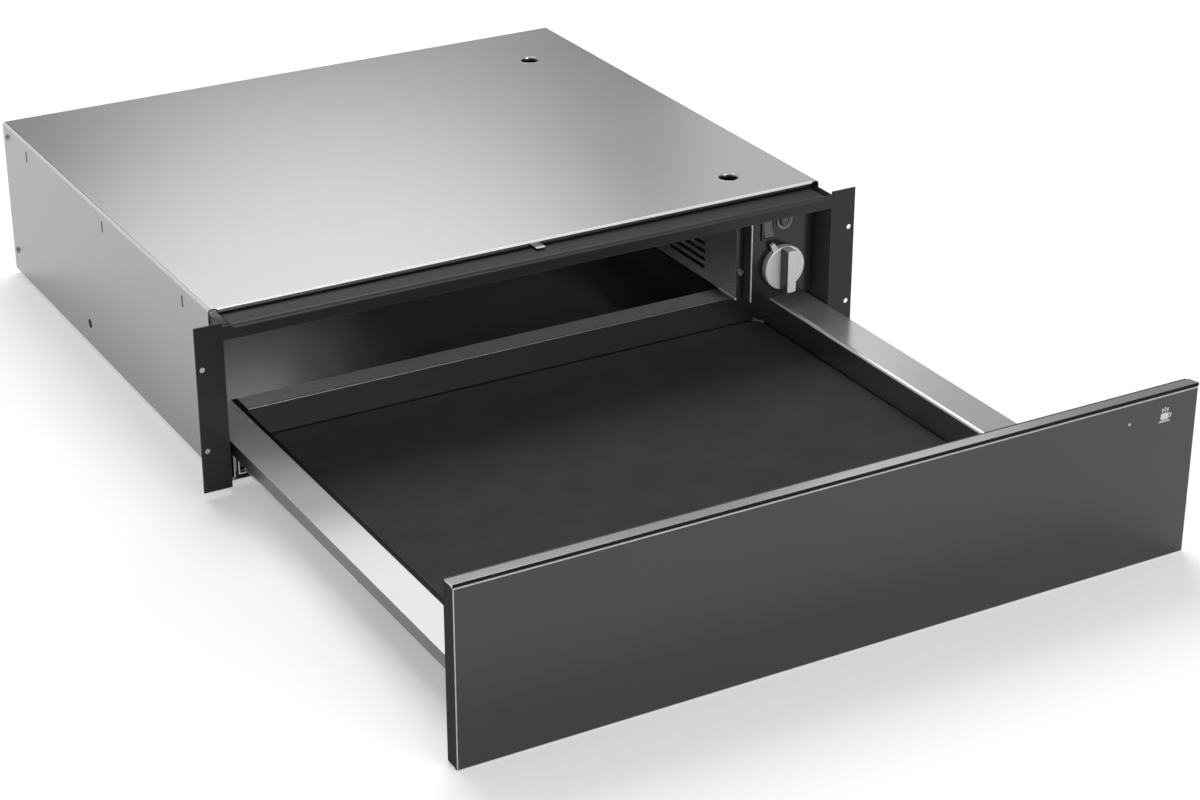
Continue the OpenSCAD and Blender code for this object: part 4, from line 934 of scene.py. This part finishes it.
# %% Pilot lamp
BEZEL_T = 1.5 * MM
BEZEL_RING, BEZEL_DEEP = 1.5 * MM, 1.1 * MM
NECK = 1.2 * MM
lamp_low, lamp_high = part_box("pilot_lamp")
lamp_x = (lamp_low.x + lamp_high.x) / 2
lamp_z = (lamp_low.z + lamp_high.z) / 2
lamp_r = (lamp_high.x - lamp_low.x) / 2
bezel = round_bar("lamp_bezel", (lamp_x, plate_low.y - BEZEL_T / 2, lamp_z), lamp_r, BEZEL_T)
select_only(bezel)
bpy.ops.object.mode_set(mode="EDIT")
pick("faces", lambda middle, normal: normal.y < -LOOKS_ALONG)
bpy.ops.mesh.inset(thickness=BEZEL_RING)
bpy.ops.mesh.extrude_region_move(TRANSFORM_OT_translate={"value": (0, BEZEL_DEEP, 0)})
pick("faces", lambda middle, normal: normal.y > LOOKS_ALONG)
bpy.ops.mesh.inset(thickness=NECK)
bpy.ops.mesh.extrude_region_move(
    TRANSFORM_OT_translate={"value": (0, lamp_high.y - plate_low.y, 0)}
)
bpy.ops.object.mode_set(mode="OBJECT")
bezel.data.materials.append(made["lamp ring plastic"])
soft_edges(bezel, 0.35 * MM, 3)
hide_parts("pilot_lamp")
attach(bezel, "housing")
print("lamp bezel", in_mm(bezel.dimensions))

# %% [markdown]
# ### The lamp's lens
# The lens is a low dome. A sphere is flattened, and the half that lies behind the bezel's
# floor is cut off and closed.

# %% Domed lens
DOME_FLATNESS = 0.42
dome_low, dome_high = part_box("lamp_lens")
dome_back = plate_low.y + 0.3 * MM
bpy.ops.object.select_all(action="DESELECT")
bpy.ops.mesh.primitive_uv_sphere_add(segments=64, ring_count=24, radius=(dome_high.x - dome_low.x) / 2,
                                     rotation=(math.pi / 2, 0, 0),
                                     location=(lamp_x, dome_back, lamp_z),
                                     scale=(1, 1, DOME_FLATNESS))
dome = place_in_mesh("lamp_dome")
select_only(dome)
bpy.ops.object.mode_set(mode="EDIT")
bpy.ops.mesh.select_all(action="SELECT")
bpy.ops.mesh.bisect(plane_co=(0, dome_back, 0), plane_no=(0, 1, 0), use_fill=True,
                    clear_outer=True)
bpy.ops.object.mode_set(mode="OBJECT")
dome.data.materials.append(made["lamp lens"])
flat_and_smooth(dome)
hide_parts("lamp_lens")
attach(dome, "housing")
print("dome", in_mm(dome.dimensions))

# %% [markdown]
# ## Drawn collars in the top
# The two round holes in the casing's top aren't just punched: their rims are drawn down into
# short collars, which stiffen the sheet. A collar is a ring spun from its profile: over the
# rounded rim and down the inside. Each point of the profile says how far it lies inside the
# hole's edge and below the top, in millimetres.

# %% Collars
COLLAR_PROFILE = ((0.02, 3.2), (0.02, 0.9), (0.02, 0.12), (0.3, 0.03), (0.65, 0.25), (0.9, 0.7),
                  (1.05, 1.3), (1.05, 3.2))
HOLE_EDGE_R = 9 * MM
HOLES_X = 211.3 * MM
HOLES_Y = (66.1 * MM, 417.6 * MM)
SPIN_SEAM = 0.01 * MM


def collar(name, x, y):
    corners = [(x + HOLE_EDGE_R - inside * MM, y, casing_top - below * MM)
               for inside, below in COLLAR_PROFILE]
    mesh = bpy.data.meshes.new(name)
    mesh.from_pydata(corners, [(i, (i + 1) % len(corners)) for i in range(len(corners))], [])
    ring = bpy.data.objects.new(name, mesh)
    bpy.context.scene.collection.objects.link(ring)
    select_only(ring)
    bpy.ops.object.mode_set(mode="EDIT")
    bpy.ops.mesh.select_all(action="SELECT")
    bpy.ops.mesh.spin(steps=72, angle=2 * math.pi, center=(x, y, casing_top), axis=(0, 0, 1))
    bpy.ops.mesh.select_all(action="SELECT")
    bpy.ops.mesh.remove_doubles(threshold=SPIN_SEAM)
    bpy.ops.mesh.normals_make_consistent(inside=False)
    bpy.ops.object.mode_set(mode="OBJECT")
    flat_and_smooth(ring)
    ring.data.materials.append(made["cut steel edge"])
    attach(ring, "housing")
    print(name, in_mm(ring.dimensions))


for number, hole_y in enumerate(HOLES_Y):
    collar(f"top_collar_{number + 1}", HOLES_X, hole_y)

# %% [markdown]
# ## A printed sign on the glass
# Near the right end of the glass stands a small grey sign: a generic cup with steam. It is
# printed, so it is only a film of colour. Each stroke starts as a thin slab that is
# bevelled, and the strokes are joined.

# %% Cup and steam
SIGN_X, SIGN_Z = 262.4 * MM, 107.4 * MM
FILM_T = 0.06 * MM


def stroke(name, x, z, width, height, corner):
    """One printed stroke, in millimetres from the sign's lower left corner."""
    low = Vector((SIGN_X + x * MM, glass_low.y, SIGN_Z + z * MM))
    film = slab(name, low, low + Vector((width * MM, FILM_T, height * MM)))
    select_only(film)
    bpy.ops.object.mode_set(mode="EDIT")
    pick("edges", lambda a, b: abs(a.y - b.y) > FILM_T / 2)
    bpy.ops.mesh.bevel(offset=corner * MM, segments=4, affect="EDGES")
    bpy.ops.object.mode_set(mode="OBJECT")
    film.data.materials.append(made["printed grey"])
    return film


strokes = [
    stroke("sign_cup", 1.6, 1.8, 7.2, 5.2, 1.2),
    stroke("sign_saucer", 0.2, 0.0, 10.0, 1.1, 0.4),
    stroke("sign_handle_top", 8.4, 5.4, 2.6, 1.1, 0.4),
    stroke("sign_handle_side", 10.2, 3.2, 1.1, 3.0, 0.4),
    stroke("sign_handle_low", 8.4, 2.8, 2.6, 1.1, 0.4),
    stroke("sign_steam_1", 2.4, 8.0, 1.2, 2.8, 0.4),
    stroke("sign_steam_2", 4.7, 8.0, 1.2, 3.6, 0.4),
    stroke("sign_steam_3", 7.0, 8.0, 1.2, 2.8, 0.4),
]
select_only(*strokes)
bpy.ops.object.join()
sign = bpy.context.object
sign.name = "printed_sign"
sign.data.name = "printed_sign"
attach(sign, "drawer")
print("sign", in_mm(sign.dimensions))

# %% [markdown]
# ## The floor
# The set is a plain pale floor. For the camera, for reflections and through glass it glows a
# little on top of its own light, so that it stays white while keeping the shadow.

# %% Floor
FLOOR_SIZE = 40
FLOOR_GLOW = 0.32
bpy.ops.object.select_all(action="DESELECT")
bpy.ops.mesh.primitive_plane_add(size=FLOOR_SIZE, location=(0, 0, glass_low.z - 0.3 * MM))
floor = place_in_mesh("studio_floor")
floor_paint = bpy.data.materials.new("studio floor")
floor_paint.use_nodes = True
tree = floor_paint.node_tree
shader = tree.nodes["Principled BSDF"]
shader.inputs["Base Color"].default_value = (0.85, 0.85, 0.85, 1)
shader.inputs["Roughness"].default_value = 0.9
shader.inputs["Specular IOR Level"].default_value = 0.1
shader.inputs["Emission Color"].default_value = (1, 1, 1, 1)


def two_values(operation):
    node = tree.nodes.new("ShaderNodeMath")
    node.operation = operation
    return node


rays = tree.nodes.new("ShaderNodeLightPath").outputs
seen = two_values("MAXIMUM")
tree.links.new(rays["Is Camera Ray"], seen.inputs[0])
tree.links.new(rays["Is Glossy Ray"], seen.inputs[1])
seen_too = two_values("MAXIMUM")
tree.links.new(seen.outputs[0], seen_too.inputs[0])
tree.links.new(rays["Is Transmission Ray"], seen_too.inputs[1])
glow = two_values("MULTIPLY")
glow.inputs[1].default_value = FLOOR_GLOW
tree.links.new(seen_too.outputs[0], glow.inputs[0])
tree.links.new(glow.outputs[0], shader.inputs["Emission Strength"])
floor.data.materials.append(floor_paint)
print("floor at", in_mm([floor.data.vertices[0].co.z]))

# %% [markdown]
# ## Light
# The world gives a soft white light from all sides. On top of it come four softboxes. A large
# round one stands behind and above, and the pale sheet metal mirrors it. A narrow one beside
# it carries that reflection further to the right. Another hangs overhead, and the last one,
# in front, lights the open mouth.

# %% World
world = bpy.data.worlds.new("studio")
bpy.context.scene.world = world
world.use_nodes = True
world.node_tree.nodes["Background"].inputs["Color"].default_value = (1, 1, 1, 1)
world.node_tree.nodes["Background"].inputs["Strength"].default_value = 0.36

# %% Softboxes
LAMPS_AIM = Vector((0, 0, 60 * MM))


def softbox(name, azimuth, elevation, distance, width, height, power, shape="RECTANGLE"):
    """A soft lamp that looks at the object. Azimuth 0 is behind the object, 90 its right."""
    a, e = math.radians(azimuth), math.radians(elevation)
    way = Vector((math.sin(a) * math.cos(e), math.cos(a) * math.cos(e), math.sin(e)))
    data = bpy.data.lights.new(name, "AREA")
    data.shape = shape
    data.size = width
    data.size_y = height
    data.energy = power
    lamp = bpy.data.objects.new(name, data)
    bpy.context.scene.collection.objects.link(lamp)
    lamp.location = LAMPS_AIM + way * distance
    lamp.rotation_euler = way.to_track_quat("Z", "Y").to_euler()
    print(name, power, "W at", [round(c, 2) for c in lamp.location])


softbox("back softbox", 22.3, 28.8, 7, 2.27, 2.27, 20, "ELLIPSE")
softbox("side softbox", 35.5, 20.5, 7, 0.75, 1.9, 3.1)
softbox("top softbox", 12, 60, 3.2, 2.2, 1.8, 56)
softbox("front softbox", 172, 16, 3.0, 1.6, 0.7, 36)

# %% [markdown]
# ## The camera
# It stands to the left, in front of the object and well above it, and looks at it through a
# long lens, so that parallel edges run together only a little.

# %% Camera
CAMERA_PLACE = (-0.95208, -1.76959, 0.96949)
CAMERA_AZIMUTH, CAMERA_ELEVATION = -29.54, 25.55
LENS, SENSOR = 83.12, 36
camera_data = bpy.data.cameras.new("photo camera")
camera_data.sensor_width = SENSOR
camera_data.lens = LENS
camera_data.clip_start = 0.05
camera_data.clip_end = 100
camera = bpy.data.objects.new("photo camera", camera_data)
camera.location = CAMERA_PLACE
camera.rotation_euler = (math.radians(90 - CAMERA_ELEVATION), 0, math.radians(CAMERA_AZIMUTH))
bpy.context.scene.collection.objects.link(camera)
bpy.context.scene.camera = camera
bpy.context.scene.view_settings.view_transform = "Standard"
print("camera at", in_mm(camera.location))
